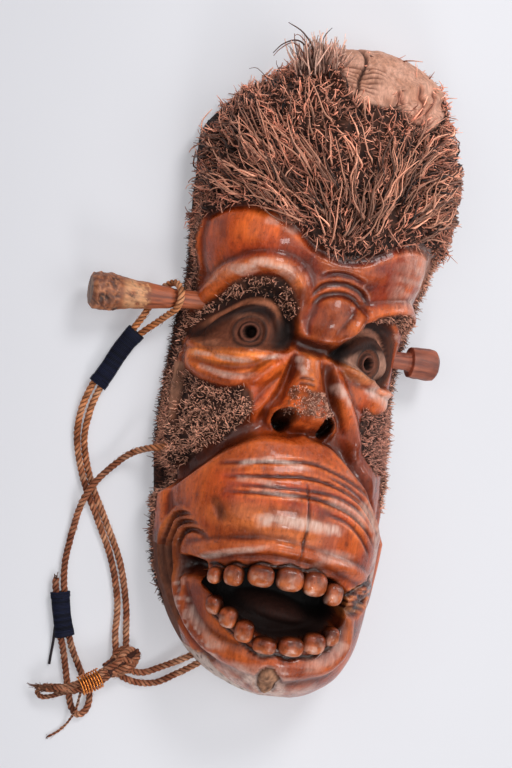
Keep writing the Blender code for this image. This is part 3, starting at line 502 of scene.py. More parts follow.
def side_at(y, z, side):
    """Where the plain head ends, left (-1) or right (1), at drawn heights on the face and over the floor."""
    width, depth, centre = (value[0] for value in sizes_at(np.array([y])))
    out = (1 - (z / depth) ** SECTION_POWER) ** (1 / SECTION_POWER)
    return (centre + side * width * out) * STRETCH[0]


# Pegs: side, where it enters the head, how far it stands out, its lean up the face for each millimetre out,
# and its profile from the tip as shares of how far it stands out and of the peg's radius
LEFT_PROFILE = (
    (1.0, 0.76), (0.972, 0.97), (0.865, 1.0), (0.72, 0.95), (0.61, 0.82), (0.465, 0.76), (0.336, 0.66),
)
LEFT_PEG = (-1, 34.1, LEFT_PEG_OUT, -0.1016, LEFT_PROFILE)
RIGHT_PROFILE = ((1.0, 0.68), (0.92, 0.9), (0.77, 0.95), (0.385, 0.92), (0.246, 0.9))
RIGHT_PEG = (1, 22.6, RIGHT_PEG_OUT, 0.0604, RIGHT_PROFILE)
# Where the thinner neck of a peg begins, as a share of how far it stands out
LEFT_NECK = 0.235
RIGHT_NECK = 0.23


def peg_point(row, out):
    """A point on a peg's axis, so many millimetres outside the head."""
    side, enters, _, lean, _ = row
    x = side_at(enters, PEG_HEIGHT / STRETCH[2], side) + side * out
    return x, enters * STRETCH[1] + lean * out, PEG_HEIGHT


def middle():
    """The shift that puts the middle of the head and pegs at the origin."""
    left = peg_point(LEFT_PEG, LEFT_PEG_OUT)[0]
    right = peg_point(RIGHT_PEG, RIGHT_PEG_OUT)[0]
    return -(left + right) / 2, -(STATIONS[0][1] + STATIONS[-1][1]) / 2 * STRETCH[1], 0.0


SHIFT = middle()


def offset_route(axis, sideways):
    """A line beside another one, to its left when sideways is positive."""
    axis = np.asarray(axis, float)
    ahead = np.gradient(axis, axis=0)
    left = unit(np.stack([-ahead[:, 1], ahead[:, 0], np.zeros(len(axis))], 1))
    return [tuple(p) for p in axis + left * sideways]


# Middle lines of the two whippings, which each hold two strands side by side
UPPER_WHIP = [(-145, -34, 5.0), (-140, -23, 6.0), (-136, -12, 7.4), (-131.5, -2, 9.2), (-127, 6, 11.2)]
LOWER_WHIP = [(-142, -176, 4.8), (-138.2, -190, 4.8), (-133, -205, 4.8)]
STRAND_STEP = CORD / 2 + GAP + 0.15

# The cords' routes, in face millimetres
PEG_ROUTE = (
    [(-95.0, -215.5, 6.0), (-96.5, -208, 4.4), (-98.5, -198, 2.9), (-101.5, -176, 2.8), (-111.5, -149, 2.8),
     (-126, -124, 2.8), (-141, -99, 2.8), (-150.5, -74, 2.8), (-152, -53, 3.4)]
    + offset_route(UPPER_WHIP, STRAND_STEP)
    + [(-123.5, 19, 10.2), (-119.5, 29, 8.6), (-114.5, 39, 11.5), (-109.5, 43.2, 20), (-107, 39.5, 28),
       (-106, 33.5, 30.4), (-107, 26.2, 27.6), (-110.5, 21, 21), (-115.5, 14.5, 15)]
    + offset_route(UPPER_WHIP, -STRAND_STEP)[::-1]
    + [(-146, -53, 3.4), (-145.5, -74, 2.8), (-135.8, -99, 2.8), (-120.5, -124, 2.8), (-105.5, -149, 2.8),
       (-95.5, -176, 2.8), (-91, -197, 2.9), (-89.8, -205, 4.4), (-89.2, -211.5, 6.0)]
)
CHEEK_ROUTE = (
    [(-70, -60, 21), (-84, -64, 22), (-97, -67, 22), (-106, -70, 17.5), (-115, -76, 10.5), (-124, -86, 7.6),
     (-132, -96, 8.6), (-138, -107, 8.6), (-140.5, -118, 6.0), (-141, -128, 3.0), (-142, -141, 2.8),
     (-142.4, -155, 2.8), (-141, -167, 3.6)]
    + offset_route(LOWER_WHIP, STRAND_STEP)
    + [(-126.5, -212, 3.6), (-121.5, -220.5, 2.8), (-116, -229, 2.8), (-110.5, -237, 2.8),
       (-107.3, -245, 2.8), (-108.2, -253, 2.8), (-113, -257, 2.8), (-118.5, -252.5, 2.8),
       (-122, -244, 2.8), (-125.8, -233, 2.8), (-129.6, -221, 2.8), (-132.6, -213, 3.4)]
    + offset_route(LOWER_WHIP, -STRAND_STEP)[::-1]
    + [(-146.6, -168, 3.4)]
)
CHIN_ROUTE = [
    (-92, -217.5, 6.0), (-86.5, -221, 4.2), (-79, -222.6, 2.9), (-72, -221.7, 2.8), (-60.7, -215.5, 4.2),
    (-50, -209, 6.5), (-40, -202, 8.0), (-30.5, -194.5, 8.0), (-24, -188, 8.0), (-17.5, -183.5, 8.0),
    (-12.5, -186.5, 8.0), (-14, -192, 8.0), (-21, -197.5, 8.0), (-32, -205, 8.0), (-42, -212.5, 7.5),
    (-51, -219.5, 4.6), (-62.6, -227.3, 2.9), (-74, -229.6, 2.8), (-84, -228.4, 2.9), (-91.5, -225, 4.4),
    (-96, -221.5, 6.4),
]
TAIL_ROUTE = [
    (-115.5, -240.6, 8.2), (-115.5, -244.5, 7.2), (-115.6, -249, 7.4), (-116.5, -254.5, 7.6),
    (-118.2, -260.5, 4.6), (-120, -265.5, 1.8), (-124, -270.5, 1.3), (-130, -275, 1.3),
]
TAIL = 2.0
# Middle of the knot, and its half width and half height there
KNOT_AXIS = [
    (-81.5, -209.5, 5.6), (-86, -212.5, 6.6), (-93, -217.5, 8.0), (-98.5, -222, 10.0), (-101, -224.6, 11.2),
]
KNOT_SIZES = [(3.6, 3.4), (6.6, 5.6), (8.6, 7.2), (7.2, 6.2), (5.8, 5.6)]
BUNDLE_AXIS = [
    (-101.6, -225.2, 11.5), (-105, -228, 12.6), (-111, -231.8, 13.4), (-118, -235.6, 13.8),
    (-124, -237.6, 13.4), (-131, -238.8, 12.6), (-138, -240, 11.4), (-145, -241, 9.6),
]

# The hollow in the back: its two ends on the face, and how deep it is along the head
HOLLOW_ENDS = (-192, 90)
HOLLOW_DEPTHS = ((-195, 20), (-150, 27), (-110, 30), (-60, 42), (0, 38), (50, 40), (95, 30))


def hollow_depth(y):
    """How deep the hollow is at a height on the face."""
    return between(np.array([y]), *zip(*HOLLOW_DEPTHS))[0]


# Whole numbers that scatter the cells of the noise
NOISE_PRIMES = (73856093, 19349663, 83492791)
NOISE_SEED_STEP = 2654435
NOISE_TOP = 0xFFFFFFFF


def value_noise(points, size, seed):
    """Smooth random values from -1 to 1, in cells of a size along each axis. A seed picks the pattern."""
    p = np.asarray(points, float) / np.asarray(size, float)
    cell = np.floor(p).astype(np.int64)
    t = smooth(p - cell)
    total = np.zeros(p.shape[:-1])
    for corner in range(8):
        offset = np.array((corner & 1, corner >> 1 & 1, corner >> 2 & 1))
        mixed = (seed + 1) * NOISE_SEED_STEP
        for axis, prime in enumerate(NOISE_PRIMES):
            mixed = mixed ^ (cell[..., axis] + offset[axis]) * prime
        mixed = (mixed ^ (mixed >> 13)) * 1274126177 & NOISE_TOP
        mixed = (mixed ^ (mixed >> 16)) * 2246822519 & NOISE_TOP
        weight = np.prod(np.where(offset, t, 1 - t), axis=-1)
        total += weight * (mixed / NOISE_TOP * 2 - 1)
    return total


def flat_noise(across, along, size, seed):
    """Smooth random values at places on the flat."""
    return value_noise(np.stack([across, along, np.zeros_like(across)], -1), size, seed)


def srgb(red, green, blue):
    """A colour as picked on screen, from 0 to 255, in linear light."""
    c = np.array((red, green, blue)) / 255
    return np.where(c <= 0.04045, c / 12.92, ((c + 0.055) / 1.055) ** 2.4)


def mixed_colour(first, second, share):
    """The first colour, with this share of the second one in its place."""
    k = np.clip(share, 0, 1)[..., None]
    return first * (1 - k) + second * k


def spans(rows):
    """Values over neighbouring spans, each (start, end, count)."""
    parts = [np.linspace(a, b, n, endpoint=False) for a, b, n in rows[:-1]]
    return np.concatenate(parts + [np.linspace(*rows[-1])])


class Skin(Relief):
    """The relief with a colour, a share of bare wood and a share of painted sheen at each point."""

    def __init__(self, s, y):
        super().__init__(s, y)
        self.colour = np.zeros(self.s.shape + (3,)) + srgb(140, 60, 30)
        self.bare = np.zeros(self.s.shape)
        self.painted_sheen = np.zeros(self.s.shape)

    def wash(self, amount, colour, strength=1.0):
        """Lays a colour over the surface, as strongly as the amount says."""
        self.colour = mixed_colour(self.colour, srgb(*colour), amount * strength)

    def cloud(self, amount):
        """Adds painted sheen, which turns the colour pale."""
        self.painted_sheen = np.maximum(self.painted_sheen, np.clip(amount, 0, 1))

    def strip(self, amount):
        """Takes the varnish off."""
        self.bare = np.maximum(self.bare, np.clip(amount, 0, 1))


# Patches of short rootlets left on the face
LEFT_BROW_HAIR = (
    (-106, 20), (-98, 28), (-84, 37), (-77, 43), (-66, 51.5), (-56, 56), (-44, 58.5), (-33, 56.5),
    (-25, 50), (-18, 39), (-22, 31), (-35, 41), (-49, 46), (-64, 43), (-79, 35), (-95, 18),
)
RIGHT_BROW_HAIR = (
    (36, 46), (50, 51), (66, 53), (84, 49), (96, 40), (92, 34), (78, 40), (62, 45), (46, 42),
)
NOSE_HAIR = (
    (-14, -10), (-8, -9), (0, -12), (8, -10), (15, -15), (17, -24), (8, -29), (-6, -30), (-16, -27),
)
LEFT_CHEEK_HAIR = (
    (-125, -12), (-100, -12), (-80, -17), (-60, -19), (-46, -16), (-38, -22), (-39, -32), (-50, -42),
    (-60, -50), (-72, -56), (-88, -68), (-105, -78), (-125, -86),
)
RIGHT_CHEEK_HAIR = (
    (46, -14), (58, -17), (72, -14), (90, -12), (125, -8), (125, -60), (100, -60), (80, -56), (66, -56),
    (54, -48), (46, -34),
)
ROUGH_PATCHES = (LEFT_BROW_HAIR, RIGHT_BROW_HAIR, LEFT_CHEEK_HAIR, RIGHT_CHEEK_HAIR)
CROWN_WOOD = (
    (-46, 214), (-36, 206), (-27, 191), (-18, 183), (-6, 182), (9, 186), (20, 182), (34, 178), (46, 178),
    (56, 200), (46, 226), (10, 240), (-20, 240), (-46, 228),
)
CUT_EDGE = (
    (-130, -190), (-106, -196), (-87, -197), (-71, -200), (-60, -203), (-50, -206), (-36, -210),
    (-22, -213), (-6, -215), (10, -217), (14, -236), (-130, -236),
)
SCAR = (
    (-20, -197), (-18, -192), (-13, -190), (-9, -193), (-6, -197), (-8, -202), (-7, -206), (-12, -208),
    (-16, -205), (-19, -202),
)
SCAR_EDGE = SCAR + SCAR[:1]
UPPER_GUM = (
    (-62, -134), (-54, -132), (-48, -133), (-41.5, -128.6), (-33, -129), (-25, -125), (-16, -126),
    (-7, -123.4), (2, -125.5), (10, -123.7), (18, -128), (23.5, -129.5), (31, -134),
)
LOWER_GUM = (
    (-62, -160), (-56, -166), (-49, -170), (-44, -173.5), (-38, -177), (-33, -180.5), (-26, -183.5),
    (-19, -185), (-11, -183.5), (-3, -184), (6, -182), (13, -181), (21, -176.5), (28, -173), (33, -165),
    (35, -157),
)
HAMMERED = ((-92, -150), (-84, -148), (-70, -172), (-50, -184), (-50, -192), (-72, -188), (-88, -172))
TORN_CORNER = ((36, -136), (56, -128), (80, -124), (84, -144), (60, -150), (40, -150))
WOOD_CRACK = ((-21, 182), (-19, 188), (-22, 202), (-19, 218), (-21, 228))
MUZZLE_CRACK = ((0, -70), (1, -82), (1.5, -93), (0, -106), (-2, -116), (-2.5, -124))
RED_CUTS = (
    ((6, 196), (10, 192), (16, 189)),
    ((18, 206), (24, 200), (30, 188), (31, 180)),
    ((34, 206), (37, 196), (36, 184)),
)

# Ridges that the saw left across the crown
CROWN_RIDGES = 6


def crown_ridge(number, lower=0.0):
    """The line of one of the ridges, or a line so far below it."""
    y = 190.5 + 3.3 * number - lower
    return [(-38, y + 0.5), (-30, y + 1.5), (-21, y + 1), (-12, y + 2.5), (-4, y + 2)]


def side_share(r):
    """One on the strips of rootlets down both sides of the face."""
    left_edge = np.interp(r.y, (-122, -104, -92, -20, 0, 40, 60), (-119, -112, -109, -107, -100, -99, -102))
    left = smooth((left_edge - r.s) / 6)
    right = smooth((r.s - 101) / 6) * smooth((r.y + 86) / 10)
    return np.maximum(left, right) * smooth((r.y + 178) / 14)


def woody_share(r):
    """One on the bare streaked wood between the left strip of rootlets and the cheek."""
    return r.line([(-104, -6), (-106, -20), (-107, -33), (-111, -48)], 7.5, 0.8, 0.1)


def fine_relief(r, points):
    """What is too small for the solids: unevenness, cuts, cracks, pores and rough patches."""
    hair = above_hairline(r, 4)
    wood = r.mask(CROWN_WOOD, 6)
    stubble = sum(r.mask(patch, 4) for patch in ROUGH_PATCHES)
    rough = np.clip(hair * (1 - wood) + stubble + side_share(r), 0, 1)
    r.h += rough * (1.3 * value_noise(points, (7, 9, 7), 1) + 0.9 * value_noise(points, 3.2, 2) - 0.6)
    r.h += r.mask(NOSE_HAIR, 3) * (0.35 * value_noise(points, 2.2, 3) + 0.1)
    # Waviness left by the gouge, and long shallow scraper marks
    r.h += (1 - rough) * 0.28 * value_noise(points, (16, 24, 16), 4)
    r.h += (1 - rough) * 0.07 * value_noise(points, (2.6, 15, 2.6), 5)
    # Ridges and cracks of the sawn crown
    r.h += wood * 0.5 * value_noise(points, (3, 12, 3), 6)
    for k in range(CROWN_RIDGES):
        r.stroke(crown_ridge(k), 1.5, 1.3, 1.2)
    r.stroke(WOOD_CRACK, -2.4, 1.6, 1.0, 0)
    for cut_line in RED_CUTS:
        r.stroke(cut_line, -1.0, 2.2, 1.2)
    # Lines cut round the teeth
    r.stroke(LOWER_GUM, -1.5, 1.5, 1.2, 0.05)
    r.stroke(UPPER_GUM, -1.5, 1.4, 1.2, 0.05)
    # Hammered dimples along the lower lip
    r.h -= 0.5 * r.mask(HAMMERED, 4) * np.maximum(value_noise(points, 2.6, 7), 0)
    # Rough striations by the right corner of the mouth
    slanted = points @ np.array(((1, 0.4, 0), (0.3, 1, 0), (0, 0, 1.0)))
    r.h += r.mask(TORN_CORNER, 5) * 1.1 * value_noise(slanted, (9, 2.0, 5), 8)
    # Crack down the muzzle
    r.stroke(MUZZLE_CRACK, -0.7, 0.8, 1.0, 0.1)
    # Scar on the chin
    r.stroke(SCAR_EDGE, -1.4, 2.0, 1.2, 0)
    r.h += r.mask(SCAR, 3) * (0.9 + 0.8 * value_noise(points, 2.4, 9))
    # Sawn edge below the chin
    r.h += r.mask(CUT_EDGE, 3) * (0.3 * value_noise(points, (2.4, 2.4, 6), 10) - 0.4)


# Washes of colour over the face, a few of them painted sheen, highlights and shade: centre, radii, turn,
# colour, strength
SKIN_WASHES_AND_PAINTED_LIGHT = (
    ((-78, 88), (60, 22), 8, (200, 96, 44), 0.9),
    ((-98, 60), (30, 34), 0, (170, 78, 40), 0.6),
    ((-62, 76), (46, 9), 6, (140, 50, 22), 0.6),
    ((6, 66), (34, 26), 0, (84, 20, 8), 0.95),
    ((52, 76), (46, 30), 0, (126, 46, 30), 0.8),
    # Painted sheen on the right of the forehead
    ((90, 80), (24, 20), 0, (206, 150, 128), 0.6),
    # Painted sheen under the right eye
    ((72, -8), (24, 9), 0, (214, 160, 136), 0.6),
    ((10, 36), (22, 22), 0, (84, 22, 8), 0.95),
    ((-64, 2), (46, 15), 4, (248, 150, 78), 0.9),
    ((-30, -30), (30, 26), -40, (206, 98, 46), 0.8),
    # Painted highlight down the bridge of the nose
    ((-2, 4), (9, 18), 0, (208, 130, 84), 0.9),
    ((-16, -8), (12, 28), 12, (198, 100, 54), 0.85),
    ((36, -22), (14, 34), 24, (156, 66, 32), 0.8),
    ((62, -10), (30, 14), 0, (162, 74, 40), 0.7),
    ((-10, -58), (86, 20), 0, (160, 76, 32), 0.95),
    ((-50, -84), (44, 16), 4, (178, 78, 34), 0.7),
    ((-2, -76), (56, 9), 0, (150, 44, 16), 0.8),
    ((0, -88), (60, 7), 0, (188, 70, 24), 0.7),
    # Painted highlight across the middle of the muzzle
    ((-20, -100), (48, 15), 0, (220, 140, 96), 0.85),
    ((-92, -106), (34, 24), 0, (160, 74, 36), 0.6),
    ((30, -106), (26, 16), -10, (150, 66, 22), 0.9),
    ((56, -104), (20, 24), 0, (150, 66, 38), 0.7),
    ((-84, -134), (34, 32), 0, (142, 68, 36), 0.7),
    ((-44, -112), (40, 8), 8, (120, 52, 26), 0.7),
    ((-60, -176), (50, 26), -30, (124, 54, 28), 0.8),
    ((10, -190), (70, 22), 0, (164, 76, 42), 0.8),
    ((-28, -192), (26, 10), -10, (96, 42, 25), 0.8),
    ((20, -190), (34, 11), 12, (100, 43, 25), 0.8),
    ((-14, -206), (58, 13), 0, (140, 80, 56), 0.8),
    ((62, -150), (30, 30), 0, (118, 50, 28), 0.7),
    ((40, -186), (36, 22), 30, (132, 56, 30), 0.7),
    # Painted shade at the right edge of the mouth, beside the lower teeth
    ((37, -155), (12, 24), 0, (66, 29, 18), 0.95),
    ((48, -40), (20, 14), -40, (104, 46, 32), 0.8),
)

# Lines of colour, most of them painted shade in grooves and creases or painted highlights on ridges: points,
# half width, colour, strength
SKIN_LINES_AND_PAINTED_LIGHT = (
    # Painted shade in the deep groove over the left of the muzzle
    (((-132, -88), (-108, -83), (-88, -73), (-72, -62), (-57, -50), (-42, -41), (-28, -37)), 12,
     (58, 24, 14), 0.9),
    # Painted shade on the right of the right cheek fold
    (((32, -26), (46, -46), (60, -66), (78, -86)), 11, (108, 46, 32), 0.8),
    # Painted shade in the groove over the right of the muzzle
    (((0, -38), (20, -40), (33, -50), (45, -62), (56, -74), (68, -86), (90, -96)), 8, (74, 30, 17), 0.75),
    # Painted highlight along the left brow ridge
    (((-99, 44), (-84, 51), (-67, 59.5), (-49, 66), (-38, 65), (-26, 58), (-19, 46)), 5.5, (226, 144, 104),
     0.85),
    (((-94, 4), (-70, 8), (-40, 11), (-16, 13)), 4, (168, 84, 42), 0.8),
    # Painted highlight along the upper rim of the bag under the left eye
    (((-96, -1), (-74, 2), (-50, 3), (-32, 6)), 3, (232, 150, 92), 0.7),
    # Painted shade in the groove across that bag
    (((-92, -4), (-72, -7), (-52, -6), (-34, 1)), 2.6, (120, 52, 26), 0.75),
    # Painted shade under the fold below that bag
    (((-92, -13), (-74, -19), (-56, -21), (-40, -17), (-29, -8)), 4, (120, 54, 28), 0.6),
    # Painted shade in the crease above the left upper lid
    (((-90, 12), (-78, 22), (-66, 32), (-55, 41), (-44, 44), (-34, 41), (-27, 33)), 4.5, (30, 14, 9), 0.9),
    (LEFT_LID, 3.4, (146, 78, 48), 0.85),
    (RIGHT_LID, 3.6, (118, 58, 36), 0.8),
    # Painted shade in the crease above the right upper lid
    (((20, 20), (28, 29), (38, 36), (50, 37), (62, 32)), 3.6, (34, 16, 11), 0.85),
    (LEFT_CHEEK_FOLD[:4], 4, (186, 90, 44), 0.7),
    # Painted shade in the grooves down both sides of the nose
    (((-12, 12), (-17, -4), (-24, -20), (-31, -32)), 3, (96, 42, 24), 0.3),
    (((12, 12), (17, -4), (22, -18), (28, -30)), 4, (66, 28, 16), 0.85),
    # Painted shade in the cut at the root of the nose
    (NOSE_ROOT, 6, (52, 22, 14), 0.9),
    # Painted shade down the inner side of the left socket
    (((-24, 56), (-18, 44), (-15, 30)), 7, (92, 38, 20), 0.7),
    # Painted shade in the two frown grooves
    (LOW_FROWN[:6], 2.6, (60, 22, 13), 0.9),
    (HIGH_FROWN, 2.4, (62, 24, 14), 0.85),
    # Painted highlight on the ridge between the frown grooves
    (((-12, 47), (-6, 54.5), (3, 58), (11, 58.8), (20, 56.5), (28, 50)), 2.0, (186, 100, 62), 0.6),
    # Painted shade along the edge of the right brow
    (BROW_EDGE, 2.2, (70, 28, 16), 0.7),
    (UPPER_LIP[:8], 4.5, (176, 96, 58), 0.75),
    # Painted shade in the groove under the upper lip
    (((-66, -134), (-50, -129), (-30, -123.5), (-10, -121.5), (12, -122), (34, -128)), 5, (112, 52, 30),
     0.85),
    (LOWER_LIP[:8], 7, (150, 74, 44), 0.65),
    # Painted shade in the fold beside the chin
    (CHIN_FOLD, 6, (76, 34, 20), 0.8),
)

# Painted sheen and highlights, pale streaks over the varnished face: points, half width, strength
PAINTED_SHEEN_LINES = (
    (((-58, 94), (-44, 93), (-33, 87)), 4, 0.5),
    (((-72, 56), (-59, 61), (-49, 67), (-36, 65), (-24, 59)), 5.5, 0.8),
    (((-92, -1), (-79, 0), (-53, 0), (-34, 5), (-16, 10)), 2.2, 0.75),
    (((-83, -7), (-56, -11), (-34, -7)), 2.6, 0.6),
    (((-9, 12), (-8, 6), (-5, -2)), 3.2, 0.75),
    (((17, -2), (24, -8), (32, -16)), 4, 0.75),
    (((40, -1), (62, -4), (84, -10)), 7, 0.75),
    (((-48, -69), (-28, -61), (-9, -61), (4, -63)), 2.8, 0.65),
    (((-46, -76), (-31, -75), (-18, -76)), 2.4, 0.6),
    (((-39, -82), (-22, -81), (-4, -82)), 2.2, 0.55),
    (((13, -79), (31, -83), (49, -93)), 3.5, 0.5),
    (((-34, -103), (-26, -99), (-8, -96), (17, -97), (30, -99)), 5.5, 0.85),
    (((38, -76), (54, -89), (66, -104), (72, -122)), 8, 0.6),
    (((70, -96), (78, -112), (80, -132)), 9, 0.6),
    (((-74, -132), (-63, -129), (-42, -121), (-19, -114)), 2.8, 0.75),
    (((5, -118), (24, -115), (40, -118)), 7, 0.4),
    (((-78, -161), (-68, -173), (-53, -182), (-41, -185)), 3.5, 0.5),
    (((-24, -183), (-11, -181)), 4, 0.8),
    (((6, -187), (23, -182), (43, -165)), 5, 0.4),
    (((-36, -203), (-24, -201), (-8, -205), (6, -205)), 13, 1.0),
    (((-40, -192), (-20, -192), (0, -190)), 4, 0.4),
    (((64, 40), (78, 34), (90, 20)), 3, 0.5),
    (((-98, 44), (-88, 50), (-78, 54)), 5, 0.4),
)

# Broad patches of painted sheen: centre, radii, strength
PAINTED_SHEEN_PATCHES = (
    ((76, 74), (40, 32), 0.62),
    ((-26, -207), (30, 12), 1.0),
    ((14, -206), (18, 8), 0.5),
)


def paint_sheen(r, points):
    """Painted sheen: pale streaks in the colour, broken up along the grain."""
    broken = 0.6 * value_noise(points, (14, 3, 8), 34) + 0.4 * value_noise(points, (4, 4, 4), 35)
    for line, width, strength in PAINTED_SHEEN_LINES:
        share = r.line(line, width, 0.9, 0.2)
        r.cloud(share * smooth(0.2 + 0.8 * share + 1.2 * broken) * strength)
    for centre, radii, strength in PAINTED_SHEEN_PATCHES:
        r.cloud(r.oval(centre, radii, 0, 0.8) * smooth(0.6 + 0.9 * broken) * strength)


def paint_skin(r, points):
    """Colours of the varnished face and the bare patches, with painted shade, highlights and sheen."""
    for centre, radii, turn, colour, strength in SKIN_WASHES_AND_PAINTED_LIGHT:
        r.wash(r.oval(centre, radii, turn, 0.9), colour, strength)
    # Uneven stain
    cloud = value_noise(points, (22, 30, 22), 20) + 0.6 * value_noise(points, (9, 14, 9), 26)
    r.wash(np.maximum(cloud, 0), (80, 28, 13), 0.75)
    r.wash(np.maximum(-cloud, 0), (206, 116, 56), 0.5)
    streak = value_noise(points, (3.5, 34, 3.5), 21) * smooth(0.4 + value_noise(points, (30, 40, 30), 27))
    r.wash(np.maximum(streak, 0), (92, 38, 20), 0.35)
    # Painted shade in the hollows and painted highlight on the ridges, as well as stain gathered in the
    # hollows and worn off the ridges
    height = standing_out(r.h)
    r.wash(np.maximum(-height, 0), (54, 20, 11), 0.55)
    r.wash(np.maximum(height, 0), (232, 140, 92), 0.25)
    for line, width, colour, strength in SKIN_LINES_AND_PAINTED_LIGHT:
        r.wash(r.line(line, width, 1.0, 0.15), colour, strength)
    # Painted shade in each wrinkle and a painted highlight just below it
    for depth, line in WRINKLES:
        below = [(s, y - 2.2) for s, y in line]
        r.wash(r.line(below, 1.6, 1.0), (214, 130, 88), 0.2 + 0.1 * depth)
        r.wash(r.line(line, 1.5, 1.0), (66, 22, 10), 0.55 + 0.2 * depth)
    paint_sheen(r, points)
    specks = np.clip(3 * value_noise(points, 1.7, 36) - 1.3, 0, 1)
    r.wash(specks, (64, 26, 15), 0.4)
    paint_eyes(r)
    paint_mouth(r)
    paint_bare(r, points)
    r.painted_sheen *= 1 - np.maximum(r.bare, r.mask(MOUTH, 3))


def evened(values, reach):
    """Each value averaged with its neighbours on the grid, as far as reach to each side."""
    for axis, count in enumerate(reach):
        rows = np.moveaxis(values, axis, 0)
        rows = np.concatenate([rows[:1].repeat(count + 1, 0), rows, rows[-1:].repeat(count, 0)])
        total = np.cumsum(rows, axis=0)
        size = 2 * count + 1
        values = np.moveaxis((total[size:] - total[:-size]) / size, 0, axis)
    return values


def standing_out(h):
    """From -1 in the hollows to 1 on the ridges of the carving."""
    fine = h - evened(h, (3, 4))
    broad = h - evened(h, (11, 14))
    return np.clip(fine / 0.45 + broad / 7, -1, 1)


# Rings of colour round a pupil, from the outside in: radius, colour. The last, near black, is painted shade
# in the pupil's hole
IRIS_RINGS = (
    (13, (26, 11, 8)),
    (11, (128, 74, 54)),
    (8.6, (30, 13, 9)),
    (7.0, (122, 70, 52)),
    (5.2, (10, 5, 4)),
)


def disc(r, centre, radii, firmness, turn=0):
    """One over nearly the whole of an oval, with a firm edge."""
    return np.clip(firmness * r.oval(centre, radii, turn, 1.0), 0, 1)


def paint_eyes(r):
    """Dark sockets, rubbed lids and ringed irises, with painted shade in the sockets, inner corners, pupils
    and nostrils and painted highlights on the left eye.
    """
    # The sockets painted dark, as painted shade in the recesses
    for socket in (LEFT_SOCKET, RIGHT_SOCKET):
        r.wash(r.mask(socket, 7), (34, 15, 10), 0.85)
    r.wash(r.oval((-54, 17), (34, 15), 15, 0.6), (138, 78, 54), 0.85)
    # Painted highlights on the left lower lid and along the top of the left eye
    r.wash(r.line([(-84, 3), (-72, 8), (-62, 9)], 3.0, 0.9), (178, 112, 82), 0.7)
    r.wash(r.line([(-62, 27), (-50, 31), (-38, 28)], 2.4, 0.9), (186, 122, 94), 0.7)
    r.wash(r.oval((45, 13), (24, 12), 8, 0.6), (206, 156, 134), 0.85)
    # Shadow of the upper lids and the inner corners
    left = r.line([(-84, 12), (-70, 24), (-58, 32), (-46, 35), (-36, 32), (-29, 24)], 4.5, 0.8)
    right = r.line([(24, 16), (34, 24), (46, 26), (56, 21)], 3.6, 0.8)
    r.wash(left, (32, 14, 10), 0.85)
    r.wash(right, (36, 16, 11), 0.85)
    # Folds of the upper lids
    left = r.line([(-90, 17), (-76, 29), (-62, 37.5), (-47, 41), (-34, 38), (-26, 29)], 2.8, 0.9)
    right = r.line([(22, 24), (32, 32), (46, 34.5), (60, 30), (68, 20)], 2.6, 0.9)
    r.wash(left, (196, 122, 88), 0.75)
    r.wash(right, (206, 142, 116), 0.8)
    for centre, size, turn in EYES:
        for reach, colour in IRIS_RINGS:
            r.wash(disc(r, centre, (reach * size, reach * 0.92 * size), 4, turn), colour, 0.9)
    # Painted shade deep in the inner corners of the sockets
    r.wash(r.oval((-23, 24), (10, 15), -10, 0.7), (14, 7, 5), 0.95)
    r.wash(r.oval((20, 18), (8, 11), 0, 0.7), (18, 9, 7), 0.95)
    for socket in (LEFT_SOCKET, RIGHT_SOCKET):
        r.strip(r.mask(socket, 5))
    # The nostrils painted near black, as painted shade in their holes
    for nostril in (LEFT_NOSTRIL, RIGHT_NOSTRIL):
        r.wash(disc(r, nostril, (8, 7), 2.5), (10, 5, 4), 0.97)


def paint_mouth(r):
    """The mouth painted dark as the shade in its hollow, with its tongue, folds, torn corner and gums, and
    painted shade and highlights in the grooves and on the ridges round it.
    """
    # Painted shade round the teeth, where they stand off the lip
    for s, y, half_width, half_height in UPPER_TEETH + LOWER_TEETH:
        r.wash(r.oval((s, y), (half_width * 1.6, half_height * 1.5), 0, 0.6), (62, 28, 16), 0.9)
    # The open mouth painted near black, as the shade in its deep hollow, with a dim floor and tongue
    r.wash(r.mask(MOUTH, 3), (9, 5, 4), 1.0)
    r.wash(mouth_floor(r) * r.mask(MOUTH, 3), (36, 17, 12), 0.95)
    r.wash(tongue_share(r), (74, 38, 28), 0.8)
    r.strip(r.mask(MOUTH, 4))
    # Painted shade in the folds round the left corner and painted highlights on the ridges between them
    for k in range(FOLDS):
        r.wash(r.line(fold(FOLD_STEP * k), 2.6, 0.8), (70, 33, 20), 0.8)
        r.wash(r.line(fold(FOLD_STEP * (k + 0.5)), 2.2, 1.0), (168, 104, 72), 0.5)
    # Painted shadow deep in the left corner of the mouth
    r.wash(r.line([(-92, -141), (-78, -139), (-62, -140)], 8, 1.0), (24, 11, 8), 0.95)
    # Painted shade in the grooves at the right corner
    r.wash(r.line(RIGHT_CORNER_TOP, 2.6, 1.0), (30, 14, 10), 0.9)
    r.wash(r.line(RIGHT_CORNER_LOW, 3.4, 1.0), (30, 14, 10), 0.9)
    torn = r.mask(TORN_CORNER, 5)
    shreds = flat_noise(r.s + 0.4 * r.y, r.y, (7, 1.8, 1), 37)
    r.wash(torn * smooth(0.6 + 1.6 * shreds), (46, 22, 15), 0.85)
    r.wash(torn * np.maximum(-shreds, 0), (214, 158, 128), 0.6)
    # Painted highlights speckled over the hammered dimples of the lower lip
    dimples = flat_noise(r.s, r.y, (3.2, 2.2, 1), 7)
    r.cloud(0.65 * r.mask(HAMMERED, 5) * smooth(0.2 + 1.6 * dimples))
    # Painted shade in the lines cut round the teeth
    for gum in (UPPER_GUM, LOWER_GUM):
        r.wash(r.line(gum, 1.5, 0.8, 0.05), (26, 12, 8), 0.95)
    r.wash(r.line(MUZZLE_CRACK, 0.9, 0.8), (60, 24, 13), 0.85)
    # A blemish on the muzzle
    r.wash(r.line([(-59, -88), (-54, -95), (-49, -104)], 4.5, 0.8), (104, 62, 40), 0.65)


